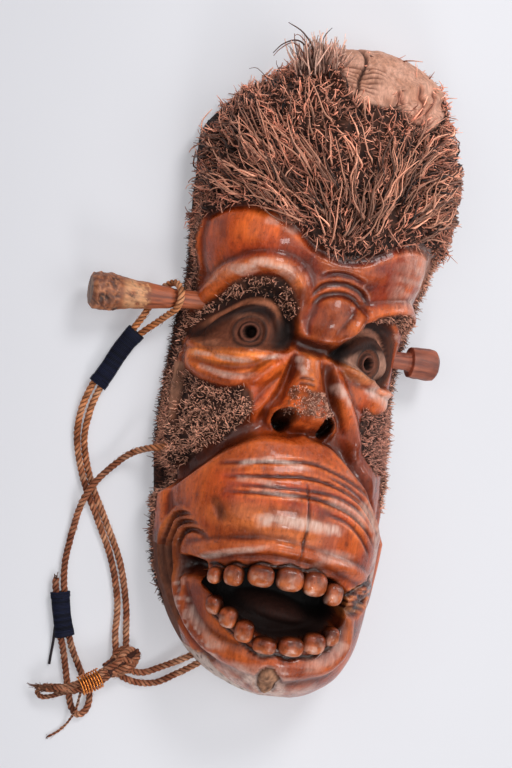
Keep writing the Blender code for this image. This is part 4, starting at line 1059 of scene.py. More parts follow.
def paint_bare(r, points):
    """Rootlet beds, sawn wood and the unvarnished side, with painted shade under the hair and under the saw
    ridges.
    """
    mottle = value_noise(points, 3.0, 22)
    hair = above_hairline(r, 4)
    woody = woody_share(r)
    grain = value_noise(points, (2.2, 16, 2.2), 28)
    r.wash(woody, (206, 150, 120), 0.92)
    r.wash(woody * np.maximum(grain, 0), (84, 50, 38), 0.75)
    r.strip(woody)
    beds = [hair, side_share(r)]
    beds += [r.mask(patch, 5) for patch in ROUGH_PATCHES]
    # The beds darkened with their own dark colour and with painted shade beneath the rootlets
    for bed in beds:
        bed = bed * (1 - 0.8 * woody)
        r.wash(bed, (34, 19, 14), 0.95)
        r.wash(bed * np.maximum(mottle, 0), (112, 70, 52), 0.6)
        r.strip(bed)
    # Painted shadow under the overhanging lower edge of the hair
    r.wash(r.line([(s, y + 1) for s, y in HAIRLINE], 5, 0.8, 0), (30, 15, 11), 0.85)
    nose = r.mask(NOSE_HAIR, 5) * smooth(0.5 + 1.4 * mottle)
    r.wash(nose, (104, 60, 44), 0.8)
    r.strip(nose * 0.8)
    side = smooth((-92 - r.s) / 8) * smooth((-118 - r.y) / 16)
    r.wash(side, (112, 68, 50), 0.85)
    r.wash(side * np.maximum(grain, 0), (54, 32, 25), 0.8)
    r.strip(side * 0.6)
    wood = r.mask(CROWN_WOOD, 5)
    r.wash(wood, (228, 174, 150), 0.95)
    r.wash(wood * np.maximum(value_noise(points, (3, 16, 3), 23), 0), (164, 108, 82), 0.7)
    r.wash(wood * np.maximum(value_noise(points, (12, 12, 12), 29), 0), (184, 124, 92), 0.6)
    # Painted shade just below each saw ridge
    for k in range(CROWN_RIDGES):
        r.wash(r.line(crown_ridge(k, 1.7), 1.0, 0.8), (104, 58, 42), 0.8)
    for cut_line in RED_CUTS:
        r.wash(r.line(cut_line, 3.6, 0.8), (176, 98, 70), 0.6)
        r.wash(r.line(cut_line, 1.2, 0.8), (84, 40, 28), 0.8)
    r.wash(r.line(WOOD_CRACK, 1.5, 0.8, 0), (52, 30, 24), 0.95)
    r.strip(wood)
    edge = r.mask(CUT_EDGE, 3)
    r.wash(edge, (224, 206, 196), 0.95)
    pores = np.clip(3 * value_noise(points, (1.8, 1.8, 3.4), 24) - 1.0, 0, 1)
    r.wash(edge * pores, (92, 66, 56), 0.85)
    r.strip(edge)
    scar = r.mask(SCAR, 1.6)
    r.wash(scar, (178, 132, 102), 0.9)
    r.wash(scar * np.maximum(value_noise(points, 1.6, 25), 0), (62, 36, 26), 0.95)
    r.wash(r.line(SCAR_EDGE, 1.4, 1.0, 0), (52, 30, 22), 0.8)
    r.strip(scar)


class Front:
    """The carved front of the head, where anything that stands on it finds its place."""

    def __init__(self):
        self.rows = spans(FRONT_ROWS)
        self.columns = spans(FRONT_COLUMNS)
        plain, s = blank(self.rows, self.columns)
        y = np.broadcast_to(self.rows[:, None], s.shape)
        relief = carve(s, y)
        skin = Skin(s, y)
        skin.h = relief.h
        fine_relief(skin, plain)
        paint_skin(skin, plain)
        edge = smooth((1 - np.abs(self.columns)) / 0.06)[None, :]
        out = directions(plain)
        points = plain + out * (skin.h * STRETCH[2] * edge)[:, :, None]
        points[:, :, 2] -= mouth_sink(skin) + nostril_sink(skin)
        points = settle_walls(points, skin)
        points[:, :, 2] = np.maximum(points[:, :, 2], 0)
        points[:, 0, 2] = 0
        points[:, -1, 2] = 0
        self.left = -s[:, 0]
        self.right = s[:, -1]
        self.points = points
        self.plain_out = out
        self.skin = skin

    def at(self, s, y, field):
        """Values of a field of the grid at drawn places."""
        row = np.interp(y, self.rows, np.arange(len(self.rows)))
        i = np.minimum(row.astype(int), len(self.rows) - 2)
        t = row - i
        total = 0
        for k, row_share in ((0, 1 - t), (1, t)):
            reach = np.where(s < 0, self.left[i + k], self.right[i + k])
            column = np.interp(s / np.maximum(reach, 1e-6), self.columns, np.arange(len(self.columns)))
            j = np.minimum(column.astype(int), len(self.columns) - 2)
            f = column - j
            total = total + field[i + k, j] * (row_share * (1 - f))[:, None]
            total = total + field[i + k, j + 1] * (row_share * f)[:, None]
        return total


def mouth_floor(r):
    """One where the floor of the mouth rises behind the lower teeth."""
    return smooth((-151 - r.y) / 14) * smooth((r.s + 50) / 20)


def tongue_share(r):
    """One on the tongue."""
    return r.oval((-4, -156), (26, 9), -6, 1.0)


def mouth_sink(r):
    """How far the open mouth goes down, with the tongue left standing in it."""
    depth = CAVITY_DEPTH * r.mask(MOUTH, 4.5)
    return depth * (1 - 0.35 * mouth_floor(r)) * (1 - 0.3 * tongue_share(r))


def nostril_sink(r):
    """How far the nostrils go down."""
    return NOSTRIL_DEPTH * (disc(r, LEFT_NOSTRIL, (7.5, 6), 2.2) + disc(r, RIGHT_NOSTRIL, (6.5, 6.5), 2.2))


WALL_PASSES = 6


def settle_walls(points, r):
    """Evens out the steep walls of the mouth."""
    wall = r.mask(MOUTH, 9)
    wall = 4 * wall * (1 - wall)
    share = np.clip(wall * 1.5, 0, 1)[:, :, None]
    for _ in range(WALL_PASSES):
        even = points.copy()
        even[1:-1, 1:-1] = (points[:-2, 1:-1] + points[2:, 1:-1] + points[1:-1, :-2] + points[1:-1, 2:]) / 4
        points = points * (1 - 0.6 * share) + even * 0.6 * share
    return points


def back_grid(front):
    """The flat back and the rough hollow in it, from right to left."""
    picked = list(range(0, len(front.rows) - 1, BACK_STEP)) + [len(front.rows) - 1]
    low, high = HOLLOW_ENDS
    places = []
    for i in picked:
        y = front.rows[i]
        width, _, centre = (value[0] for value in sizes_at(np.array([y])))
        span = (y - (low + high) / 2) / ((high - low) / 2)
        end = (1 - min(abs(span), 1.0) ** 5) ** 0.5
        half = STRETCH[0] * width
        half = max(half - WALL, 0.3 * half)
        up = hollow_depth(np.clip(y, low, high)) * STRETCH[2] * (0.15 + 0.85 * end) * (abs(span) < 1)
        across = np.cos(np.linspace(0, math.pi, BACK_COLUMNS))
        inside = (0.3 + 0.7 * end) if abs(span) < 1 else 1.0
        q = np.clip(np.abs(across) / inside, 0, 1)
        z = up * (1 - q**SECTION_POWER) ** (1 / SECTION_POWER)
        x = centre * STRETCH[0] + across * half
        places.append(np.stack([x, np.full(len(x), y * STRETCH[1]), z], 1))
    grid = np.array(places)
    tool = 1.1 * value_noise(grid, (7, 22, 7), 30) + 0.5 * value_noise(grid, (3, 9, 3), 31)
    grid[:, :, 2] += np.where(grid[:, :, 2] > 1.5, tool, 0)
    grid[:, :, 2] = np.maximum(grid[:, :, 2], 0)
    return picked, grid


def spot(place, lift=0.0):
    """A point over the plain head at (distance round, height on the face), lifted in millimetres."""
    s, y = place
    points, round_ = blank(np.array([y - 1.0, y, y + 1.0]), np.linspace(-1, 1, 241))
    out = directions(points)[1]
    return np.array([np.interp(s, round_[1], points[1, :, k] + lift * out[:, k]) for k in range(3)])


TOOTH_RINGS = 15
TOOTH_SIDES = 26


def tooth(place, half_width, half_height, lift, seed):
    """A rounded block that stands out of the lip: points, faces, colours and painted sheen."""
    at = spot(place, lift)
    out = unit(spot(place, lift + 10) - at)
    up = unit(np.array((0, 1.0, 0)) - out * out[1])
    side = np.cross(up, out)
    points = []
    for i in range(TOOTH_RINGS + 1):
        polar = math.pi * i / TOOTH_RINGS
        for k in range(TOOTH_SIDES):
            turn = 2 * math.pi * k / TOOTH_SIDES
            shape = (math.sin(polar) * math.cos(turn), math.sin(polar) * math.sin(turn), math.cos(polar))
            x, z, rise = (math.copysign(abs(value) ** TOOTH_POWER, value) for value in shape)
            wide = side * x * half_width * 1.04 * STRETCH[0]
            high = up * z * half_height * STRETCH[1]
            points.append(at + wide + high + out * rise * TOOTH_RISE)
    points = np.array(points)
    points += out * (0.5 * value_noise(points, 4.0, seed))[:, None]
    index = np.arange(len(points)).reshape(-1, TOOTH_SIDES)
    following = np.roll(index, -1, axis=1)
    faces = np.stack([index[:-1], index[1:], following[1:], following[:-1]], -1).reshape(-1, 4).tolist()
    rise = (points - at) @ out / TOOTH_RISE
    low = (points - at) @ up / half_height
    tip = smooth((rise * 0.6 - low * 0.7 - 0.1) / 0.9)
    blotch = smooth(0.5 + value_noise(points, 3.0, seed + 40))
    colour = mixed_colour(srgb(84, 40, 26), srgb(134, 68, 42), blotch)
    colour = mixed_colour(colour, srgb(190, 118, 84), 0.7 * tip)
    # Near black where the tooth meets the lip, as painted shade
    colour = mixed_colour(srgb(40, 18, 11), colour, smooth((rise + 0.1) / 0.9))
    # A painted highlight towards the tip
    painted_sheen = 0.6 * tip * smooth(0.2 + 1.5 * value_noise(points, (3, 2.2, 3), seed + 80))
    return points, faces, colour, painted_sheen


def grid_faces(index):
    """Four-cornered faces of a grid of point numbers."""
    corners = (index[:-1, :-1], index[:-1, 1:], index[1:, 1:], index[1:, :-1])
    return np.stack(corners, -1).reshape(-1, 4).tolist()


# Teeth, how far each row stands off the head, and the first pattern of its unevenness
TOOTH_ROWS = ((UPPER_TEETH, 3.8, 100), (LOWER_TEETH, 2.0, 120))


def head_mesh(front, varnish, bare):
    """The whole head as one mesh with two finishes."""
    rows, columns, _ = front.points.shape
    index = np.arange(rows * columns).reshape(rows, columns)
    faces = grid_faces(index)
    looks = (front.skin.bare[:-1, :-1].reshape(-1) > 0.5).astype(int).tolist()
    points = [front.points.reshape(-1, 3)]
    colours = [front.skin.colour.reshape(-1, 3)]
    painted_sheen = [front.skin.painted_sheen.reshape(-1)]
    picked, grid = back_grid(front)
    start = rows * columns
    back = start + np.arange(grid.shape[0] * grid.shape[1]).reshape(grid.shape[:2])
    inner = grid_faces(back)
    for k in range(len(picked) - 1):
        a, b = picked[k], picked[k + 1]
        right = [index[a, -1], back[k, 0], back[k + 1, 0]] + [index[i, -1] for i in range(b, a, -1)]
        left = [back[k, -1]] + [index[i, 0] for i in range(a, b + 1)] + [back[k + 1, -1]]
        inner += [[int(i) for i in right], [int(i) for i in left]]
    inner.append([int(i) for i in list(index[0]) + list(back[0])][::-1])
    inner.append([int(i) for i in list(index[-1]) + list(back[-1])])
    faces += inner
    looks += [1] * len(inner)
    flat = grid.reshape(-1, 3)
    points.append(flat)
    pale = smooth(0.5 + 0.6 * value_noise(flat, (6, 30, 6), 32))
    colours.append(mixed_colour(srgb(128, 84, 56), srgb(168, 122, 84), pale))
    painted_sheen.append(np.zeros(len(flat)))
    total = start + len(flat)
    for row, lift, seed in TOOTH_ROWS:
        for k, (s, y, half_width, half_height) in enumerate(row):
            shell, rings, colour, pale = tooth((s, y), half_width, half_height, lift, seed + k)
            faces += [[total + i for i in face] for face in rings]
            looks += [0] * len(rings)
            points.append(shell)
            colours.append(colour)
            painted_sheen.append(pale)
            total += len(shell)
    head = mesh_object("monkey_head", np.vstack(points), faces, [varnish, bare], looks)
    paint(head, np.vstack(colours), painted_sheen=np.concatenate(painted_sheen))
    return head


def mesh_object(name, points, faces, materials, looks=None):
    """A smooth-shaded mesh object from points in face millimetres."""
    mesh = bpy.data.meshes.new(name)
    mesh.from_pydata(((np.asarray(points) + SHIFT) * MM).tolist(), [], faces)
    for made in materials:
        mesh.materials.append(made)
    if looks is not None:
        mesh.polygons.foreach_set("material_index", looks)
    mesh.polygons.foreach_set("use_smooth", [True] * len(mesh.polygons))
    mesh.update()
    obj = bpy.data.objects.new(name, mesh)
    bpy.context.collection.objects.link(obj)
    return obj


def paint(obj, colours, painted_sheen=None, lay=None):
    """Stores colours, painted sheen, and positions along and round a cord on the points."""
    data = obj.data
    count = len(data.vertices)
    attribute = data.color_attributes.new("paint", "FLOAT_COLOR", "POINT")
    full = np.ones((count, 4), np.float32)
    full[:, :3] = colours
    attribute.data.foreach_set("color", full.ravel())
    if painted_sheen is not None:
        data.attributes.new("painted_sheen", "FLOAT", "POINT").data.foreach_set("value", np.asarray(painted_sheen, np.float32))
    if lay is not None:
        flat = np.asarray(lay, np.float32).ravel()
        data.attributes.new("lay", "FLOAT_VECTOR", "POINT").data.foreach_set("vector", flat)


# How the rootlets on the crown lie: place on the face and direction in degrees
FLOW = (
    (-45, 118, 149), (-70, 116, 166), (-49, 129, 133), (-22, 155, 123), (23, 113, 78), (30, 118, 56),
    (38, 121, 41), (78, 118, 19), (72, 134, 7), (68, 168, 24), (44, 180, 51), (-118, 145, 162),
    (-100, 158, 152), (-78, 160, 141), (-56, 165, 118), (-10, 175, 126), (10, 171, 141), (65, 150, 16),
    (-110, 103, 162), (87, 103, 11), (-3, 112, 97), (-29, 140, 128), (-34, 112, 148), (-81, 129, 162),
    (12, 140, 118), (105, 130, 5),
)
# How far over the floor the lowest fibres stay
LOWEST = 0.9

# How many rootlets are set out, before the patchy growth thins them
BROKEN_ROOTLETS = 8200
SHORT_ROOTLETS = 4600
WIRY_ROOTLETS = 4200
LONG_ROOTLETS = 1700
SIDE_ROOTLETS = 7500
TUFT_ROOTLETS = 115


def flow(s, y):
    """Direction of the rootlets, in radians."""
    across = np.zeros(len(s))
    along = np.zeros(len(s))
    for place_s, place_y, degrees in FLOW:
        weight = 1 / ((s - place_s) ** 2 + (y - place_y) ** 2 + 60) ** 1.5
        across += weight * math.cos(math.radians(degrees))
        along += weight * math.sin(math.radians(degrees))
    return np.arctan2(along, across)


def scattered(count, low, high, share):
    """Random places in a box of the face, kept where share(relief) is high."""
    s = rng.uniform(low[0], high[0], count)
    y = rng.uniform(low[1], high[1], count)
    keep = rng.random(count) < share(Relief(s, y))
    return s[keep], y[keep]


# How deep a fibre's root goes in, and the height on the face that none passes
ROOT_IN = 0.8
TOP_OF_HAIR = 224


def lying(front, s, y, heading, length, lift, rise, steps, curl=0.25):
    """Paths of fibres that follow the surface and rise towards their tips."""
    count = len(s)
    t = np.linspace(0, 1, steps)
    bend = rng.normal(0, curl, (count, 1))
    wave = rng.normal(0, curl * 0.5, (count, 1)) * np.sin(t * 7 + rng.uniform(0, 6, (count, 1)))
    turn = heading[:, None] + bend * (t - 0.4) * 2 + wave
    step = length[:, None] / (steps - 1)
    across = s[:, None] + np.cumsum(np.cos(turn) * step, 1) - np.cos(turn[:, :1]) * step
    along = y[:, None] + np.cumsum(np.sin(turn) * step, 1) - np.sin(turn[:, :1]) * step
    flat_s = across.ravel()
    flat_y = np.clip(along.ravel(), front.rows[0], front.rows[-1])
    place = front.at(flat_s, flat_y, front.points)
    out = unit(front.at(flat_s, flat_y, front.plain_out))
    height = lift[:, None] + rise[:, None] * t**2 + rng.normal(0, 0.25, (count, steps))
    height[:, 0] = -ROOT_IN
    below_top = along.max(1) < TOP_OF_HAIR
    return (place + out * height.ravel()[:, None]).reshape(count, steps, 3)[below_top]


def standing(front, s, y, heading, length, lean, steps=4, curl=0.25):
    """Paths of short stiff fibres that stand out of the surface and lean along it."""
    count = len(s)
    place = front.at(s, y, front.points)
    out = unit(front.at(s, y, front.plain_out))
    ahead = unit(front.at(s + np.cos(heading), y + np.sin(heading), front.points) - place)
    way = unit(out * (1 - lean[:, None]) + ahead * lean[:, None])
    bend = rng.normal(0, curl, (count, 3))
    t = np.linspace(0, 1, steps)[None, :, None]
    reach = length[:, None, None] * t
    return (place - out * ROOT_IN)[:, None, :] + way[:, None, :] * reach + bend[:, None, :] * reach * t


def tubes(paths, radii, sides=3, tip=0.35):
    """Points and faces of tapered closed tubes, one for each path."""
    count, steps, _ = paths.shape
    ahead = unit(np.gradient(paths, axis=1))
    helper = np.where(np.abs(ahead[..., 2:3]) > 0.9, np.array((1.0, 0, 0)), np.array((0, 0, 1.0)))
    side = unit(np.cross(ahead, helper))
    up = np.cross(side, ahead)
    taper = 1 - (1 - tip) * np.linspace(0, 1, steps) ** 1.5
    angle = (np.arange(sides) * 2 * math.pi / sides)[:, None]
    way = side[:, :, None, :] * np.cos(angle) + up[:, :, None, :] * np.sin(angle)
    size = (radii[:, None] * taper)[:, :, None, None]
    points = (paths[:, :, None, :] + way * size).reshape(-1, 3)
    index = np.arange(count * steps * sides).reshape(count, steps, sides)
    following = np.roll(index, -1, axis=2)
    walls = np.stack([index[:, :-1], following[:, :-1], following[:, 1:], index[:, 1:]], -1).reshape(-1, 4)
    return points, walls.tolist() + index[:, 0, ::-1].tolist() + index[:, -1].tolist()


def fibre_tones(paths, sides, dark, light, tip_gain, middle):
    """Colours of fibres: patches differ, each has its own tone, and its tip is paler than its root."""
    count, steps, _ = paths.shape
    patch = 0.2 * value_noise(paths[:, 0], 13, 84) + 0.14 * value_noise(paths[:, 0], 5, 85)
    tone = np.clip(rng.beta(0.8, 1.2, count) + middle - 0.42 + patch, 0, 1)
    t = np.linspace(-0.6, 1, steps)
    colour = mixed_colour(srgb(*dark), srgb(*light), tone[:, None] + tip_gain * t)
    # Paler and dustier towards the top of the crown
    dust = smooth((paths[:, 0, 1] / STRETCH[1] - 140) / 45)[:, None, None]
    colour = colour * rng.uniform(0.45, 1.5, (count, 1, 1)) * (1 + dust * np.array((0.34, 0.4, 0.42)))
    return np.repeat(colour[:, :, None, :], sides, axis=2).reshape(-1, 3)


def fibre_piece(name, bundles, look):
    """One piece from several bundles of fibres, each (paths, radii, dark, light, tip gain, middle)."""
    points = []
    faces = []
    colours = []
    total = 0
    for paths, radii, dark, light, gain, middle in bundles:
        sides = 4 if paths.shape[1] > 5 else 3
        paths[:, :, 2] = np.maximum(paths[:, :, 2], LOWEST)
        shell, ring = tubes(paths, radii, sides)
        faces += [[i + total for i in face] for face in ring]
        points.append(shell)
        colours.append(fibre_tones(paths, sides, dark, light, gain, middle))
        total += len(shell)
    obj = mesh_object(name, np.vstack(points), faces, [look])
    paint(obj, np.vstack(colours))
    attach(obj, "root")
    return obj


# Where the long rootlets lie together in locks
LEFT_LOCK = (
    (-118, 148), (-79, 148), (-40, 136), (-16, 122), (-2, 100), (-6, 90), (-33, 92), (-71, 104),
    (-124, 112),
)
RIGHT_LOCK = (
    (4, 90), (6, 112), (20, 138), (44, 166), (74, 184), (100, 160), (106, 112), (60, 104), (34, 94),
)


def lock_share(s, y):
    """One where the long rootlets lie together."""
    r = Relief(s, y)
    return np.maximum(r.mask(LEFT_LOCK, 8), r.mask(RIGHT_LOCK, 8))


def crown_share(r):
    """One where rootlets grow on the crown, and nearly nothing on the sawn wood."""
    hair = above_hairline(r, 3, 1)
    wood = r.mask(CROWN_WOOD, 8)
    return hair * (1 - 0.97 * wood) * (r.y < 226)


def kept(s, y, size, level, seed):
    """Which places are kept where the growth is patchy."""
    return flat_noise(s, y, size, seed) + 0.35 * rng.normal(0, 1, len(s)) > level


def swirl(s, y, amount):
    """How neighbouring fibres turn together away from the general flow."""
    return amount * flat_noise(s, y, (13, 13, 1), 86)


def crown_bed(front, look):
    """The bed of short broken rootlets on the crown."""
    s, y = scattered(BROKEN_ROOTLETS, (-128, 78), (128, 226), crown_share)
    heading = flow(s, y) + math.pi + rng.normal(0, 0.9, len(s))
    length = rng.uniform(2.2, 6.5, len(s))
    lean = rng.uniform(0.3, 0.92, len(s))
    paths = standing(front, s, y, heading, length, lean, 4, 0.35)
    first = (paths, rng.uniform(0.38, 0.72, len(s)), (16, 6, 4), (240, 158, 130), 0.45, 0.37)
    s, y = scattered(SHORT_ROOTLETS, (-128, 84), (128, 224), crown_share)
    keep = kept(s, y, (8, 8, 1), -0.1, 82) & (rng.random(len(s)) > 0.6 * lock_share(s, y))
    s, y = s[keep], y[keep]
    heading = flow(s, y) + rng.normal(0, 0.9, len(s)) + math.pi * rng.integers(0, 2, len(s))
    length = rng.uniform(4, 10, len(s))
    lean = rng.uniform(0.5, 0.95, len(s))
    paths = standing(front, s, y, heading, length, lean, 4, 0.35)
    second = (paths, rng.uniform(0.42, 0.76, len(s)), (26, 10, 7), (255, 178, 148), 0.4, 0.51)
    return fibre_piece("crown_bed", [first, second], look)


def crown_locks(front, look):
    """Long wiry rootlets over the bed, thick on the locks and sparse in the gaps between them."""
    bundles = []
    s, y = scattered(WIRY_ROOTLETS, (-126, 88), (124, 218), crown_share)
    keep = kept(s, y, (9, 12, 1), 0.0, 80) & (rng.random(len(s)) < 0.28 + 0.72 * lock_share(s, y))
    s, y = s[keep], y[keep]
    heading = flow(s, y) + swirl(s, y, 0.5) + rng.normal(0, 0.34, len(s))
    length = rng.uniform(7, 20, len(s)) * (1 - 0.55 * smooth((y - 150) / 40))
    lift = rng.uniform(0.8, 3.6, len(s))
    paths = lying(front, s, y, heading, length, lift, rng.uniform(0, 3.0, len(s)), 6, 0.3)
    bundles.append((paths, rng.uniform(0.42, 0.74, len(paths)), (24, 9, 6), (250, 164, 134), 0.3, 0.38))
    s, y = scattered(LONG_ROOTLETS, (-118, 84), (112, 206), crown_share)
    keep = kept(s, y, (12, 14, 1), -0.15, 81) & (rng.random(len(s)) < 0.08 + 0.92 * lock_share(s, y))
    s, y = s[keep], y[keep]
    heading = flow(s, y) + swirl(s, y, 0.28) + rng.normal(0, 0.2, len(s))
    length = rng.uniform(16, 44, len(s)) * (1 - 0.6 * smooth((y - 145) / 40))
    lift = rng.uniform(2.4, 5.2, len(s))
    paths = lying(front, s, y, heading, length, lift, rng.uniform(-1.5, 2.2, len(s)), 10, 0.3)
    bundles.append((paths, rng.uniform(0.5, 0.82, len(paths)), (32, 12, 8), (255, 182, 150), 0.2, 0.46))
    return fibre_piece("crown_locks", bundles, look)


def side_rootlets(front, look):
    """Short dark stubble that sticks out down both sides."""

    def share(r):
        """One where the stubble grows."""
        return side_share(r) * (r.y < 120) * (1 - 0.9 * woody_share(r))

    bundles = []
    for low, high, heading in (((-132, -178), (-96, 125), math.pi), ((98, -96), (130, 125), 0.0)):
        s, y = scattered(SIDE_ROOTLETS, low, high, share)
        turn = heading + rng.normal(0, 0.8, len(s))
        length = rng.uniform(1.3, 4.2, len(s))
        lean = rng.uniform(0.1, 0.7, len(s))
        paths = standing(front, s, y, turn, length, lean, 4, 0.35)
        # Darker close to the floor
        low_down = paths[:, 0, 2] < 10
        radii = rng.uniform(0.35, 0.6, low_down.sum())
        bundles.append((paths[low_down], radii, (20, 10, 8), (150, 92, 72), 0.2, 0.27))
        radii = rng.uniform(0.3, 0.6, (~low_down).sum())
        bundles.append((paths[~low_down], radii, (34, 17, 13), (238, 172, 144), 0.45, 0.5))
    return fibre_piece("side_rootlets", bundles, look)


# Stubble: its patch, how many rootlets, the shortest and the longest, its dark and light colours,
# and how light it is on the whole
STUBBLE = (
    (LEFT_CHEEK_HAIR, 8000, (1.4, 4.2), (26, 12, 8), (255, 188, 158), 0.56),
    (RIGHT_CHEEK_HAIR, 5200, (1.4, 4.2), (28, 13, 9), (222, 154, 132), 0.42),
    (LEFT_BROW_HAIR, 3300, (1.6, 4.2), (28, 13, 9), (255, 186, 156), 0.58),
    (RIGHT_BROW_HAIR, 1700, (1.4, 3.6), (28, 14, 10), (230, 164, 138), 0.5),
    (NOSE_HAIR, 1700, (0.8, 2.4), (48, 24, 18), (236, 180, 156), 0.56),
)


def face_stubble(front, look):
    """Short rootlets left on the brows, the cheeks and the nose."""
    bundles = []
    for outline, count, (short, long), dark, light, middle in STUBBLE:
        places = np.array(outline)

        def share(r, outline=outline):
            """One where this patch of stubble grows."""
            return smooth(r.mask(outline, 3) * 2 - 0.7) * (1 - 0.9 * woody_share(r))

        s, y = scattered(count, places.min(0), places.max(0), share)
        keep = kept(s, y, (5, 5, 1), -0.25, 83)
        s, y = s[keep], y[keep]
        turn = rng.uniform(0, 2 * math.pi, len(s))
        length = rng.uniform(short, long, len(s))
        lean = rng.uniform(0.1, 0.85, len(s))
        paths = standing(front, s, y, turn, length, lean, 3, 0.3)
        bundles.append((paths, rng.uniform(0.28, 0.58, len(s)), dark, light, 0.5, middle))
    return fibre_piece("face_stubble", bundles, look)


# Long curled strands that stand off the crown: points on the drawn head, and radius
STRAY_STRANDS = (
    (((-54, 206, 48), (-57, 215, 49), (-62, 220, 49), (-67, 223.5, 48), (-75, 226.5, 46)), 0.75),
    (((-52, 206, 50), (-58, 213, 49), (-66, 220, 47), (-69, 219, 46)), 0.6),
    (((-54, 200, 50), (-61, 213, 49), (-68, 216, 48), (-76, 211.5, 46), (-81, 204.5, 45)), 0.75),
    (((-56, 200, 48), (-63, 211, 47), (-70, 214, 46), (-77, 208, 45), (-80, 203, 44)), 0.6),
    (((-72, 180, 47), (-79, 183, 47), (-83, 187.5, 47), (-88, 191, 46), (-91, 192, 46), (-95, 190.5, 45)),
     0.42),
    (((-64, 190, 47), (-72, 192, 47), (-77, 197, 46), (-78, 200, 46)), 0.45),
    (((-46, 204, 52), (-50, 219, 50), (-48.5, 225, 49), (-45, 230, 48)), 0.55),
)


def crown_tuft(look):
    """The tuft of long rootlets behind the crown, with stray curled ones."""
    count = TUFT_ROOTLETS
    share = rng.random(count)
    root = np.stack([-60 + 27 * share, 196 + 6 * share, np.full(count, 47.0)], 1)
    root += rng.normal(0, 3, (count, 3))
    tip = np.stack([-68 + 37 * share, 212 + 10 * np.sin(share * math.pi), 44 + 8 * share], 1)
    tip += rng.normal(0, 1, (count, 3)) * (4, 3.2, 5)
    t = np.linspace(0, 1, 7)[None, :, None]
    wave = rng.normal(0, 1.2, (count, 1, 3)) * np.sin(t * 4 + rng.uniform(0, 6, (count, 1, 1))) * t
    paths = root[:, None, :] * (1 - t) + tip[:, None, :] * t + wave
    paths[:, :, 1] = np.minimum(paths[:, :, 1], 230)
    bundles = [(paths * STRETCH, rng.uniform(0.45, 0.85, count), (62, 34, 26), (226, 178, 158), 0.35, 0.5)]
    for points, radius in STRAY_STRANDS:
        line = resample(curve_through(points, 8), 2.0)
        strand = line[None, :, :] * STRETCH
        bundles.append((strand, np.array([radius]), (70, 38, 28), (112, 66, 50), 0.2, 0.4))
    return fibre_piece("crown_tuft", bundles, look)


def closed_tube_faces(index):
    """Faces of a tube with closed ends, from the point numbers of its rings."""
    following = np.roll(index, -1, axis=1)
    walls = np.stack([index[:-1], following[:-1], following[1:], index[1:]], -1).reshape(-1, 4)
    return walls.tolist() + [index[0][::-1].tolist(), index[-1].tolist()]


PEG_SIDES = 72
# Rings that close the tip of a peg: their share of its size, and how far they stand out
TIP_RINGS = ((0.92, 0.0), (0.7, 0.4), (0.42, 0.6), (0.12, 0.7))


def peg_mesh(name, row, neck, look):
    """A peg with its bark, peeled patches and cut neck, and the tenon that goes into the head."""
    side, _, reach, _, shares = row
    outs = [share * reach for share, _ in shares] + [neck * reach, neck * reach - 2.5, -TENON_IN]
    widths = [width * PEG_RADIUS for _, width in shares] + [PEG_TENON * 1.15, PEG_TENON, PEG_TENON]
    out = np.concatenate([np.linspace(outs[0], 0, 92), np.linspace(-3, -TENON_IN, 8)])
    radius = np.interp(-out, -np.array(outs), widths)
    axis = np.array([peg_point(row, value) for value in out])
    ahead = unit(np.array(peg_point(row, 1.0)) - np.array(peg_point(row, 0.0)))
    up = np.array((0, 0, 1.0))
    across = np.cross(up, ahead) * side
    turn, share = np.meshgrid(np.linspace(0, 2 * math.pi, PEG_SIDES, endpoint=False), out / reach)
    ring = np.stack([np.cos(turn) * 9, np.sin(turn) * 9, share * reach], -1)
    bumps, colour = peg_finish(row, share, turn, ring)
    way = across * np.cos(turn)[..., None] + up * np.sin(turn)[..., None]
    points = axis[:, None, :] + way * (radius[:, None] + bumps)[..., None]
    caps = []
    cap_colours = []
    middle = points[0].mean(0)
    for scale, proud in TIP_RINGS:
        cap = middle + (points[0] - middle) * scale + ahead * proud
        cap += ahead * (0.25 * value_noise(cap, 2.0, 61))[:, None]
        caps.append(cap)
        mark = smooth(0.5 + value_noise(cap, 2.6, 62))
        cap_colours.append(mixed_colour(srgb(96, 66, 52), srgb(150, 110, 84), mark))
    rings = np.concatenate([np.array(caps)[::-1], points])
    colours = np.concatenate([np.array(cap_colours)[::-1], colour])
    faces = closed_tube_faces(np.arange(len(rings) * PEG_SIDES).reshape(len(rings), PEG_SIDES))
    obj = mesh_object(name, rings.reshape(-1, 3), faces, [look])
    paint(obj, colours.reshape(-1, 3))
    face_outwards(obj)
    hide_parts(name.replace("_wood", ""))
    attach(obj, "root")
    return obj


def face_outwards(obj):
    """Turns the faces of a closed mesh to face out."""
    shape = bmesh.new()
    shape.from_mesh(obj.data)
    bmesh.ops.recalc_face_normals(shape, faces=shape.faces)
    shape.to_mesh(obj.data)
    shape.free()


def peg_finish(row, share, turn, ring):
    """Bumps and colours of a peg, by how far out and how far round."""
    grain = value_noise(ring, (1.6, 1.6, 14), 50)
    lumps = value_noise(ring, (3.2, 3.2, 3.6), 51)
    fine = value_noise(ring, 1.6, 52)
    if row[0] > 0:
        return right_peg_finish(share, grain, lumps, fine)
    return left_peg_finish(share, turn, ring, grain, lumps, fine)


def right_peg_finish(share, grain, lumps, fine):
    """Peeled wood with a little bark at the tip."""
    bark = smooth((share - 0.9) / 0.08)
    bumps = 0.25 * grain + 0.2 * lumps + 0.3 * fine * bark
    colour = mixed_colour(srgb(124, 62, 44), srgb(172, 96, 70), smooth(0.5 + grain))
    return bumps, mixed_colour(colour, srgb(84, 44, 34), 0.5 * bark + 0.35 * np.maximum(-lumps, 0))


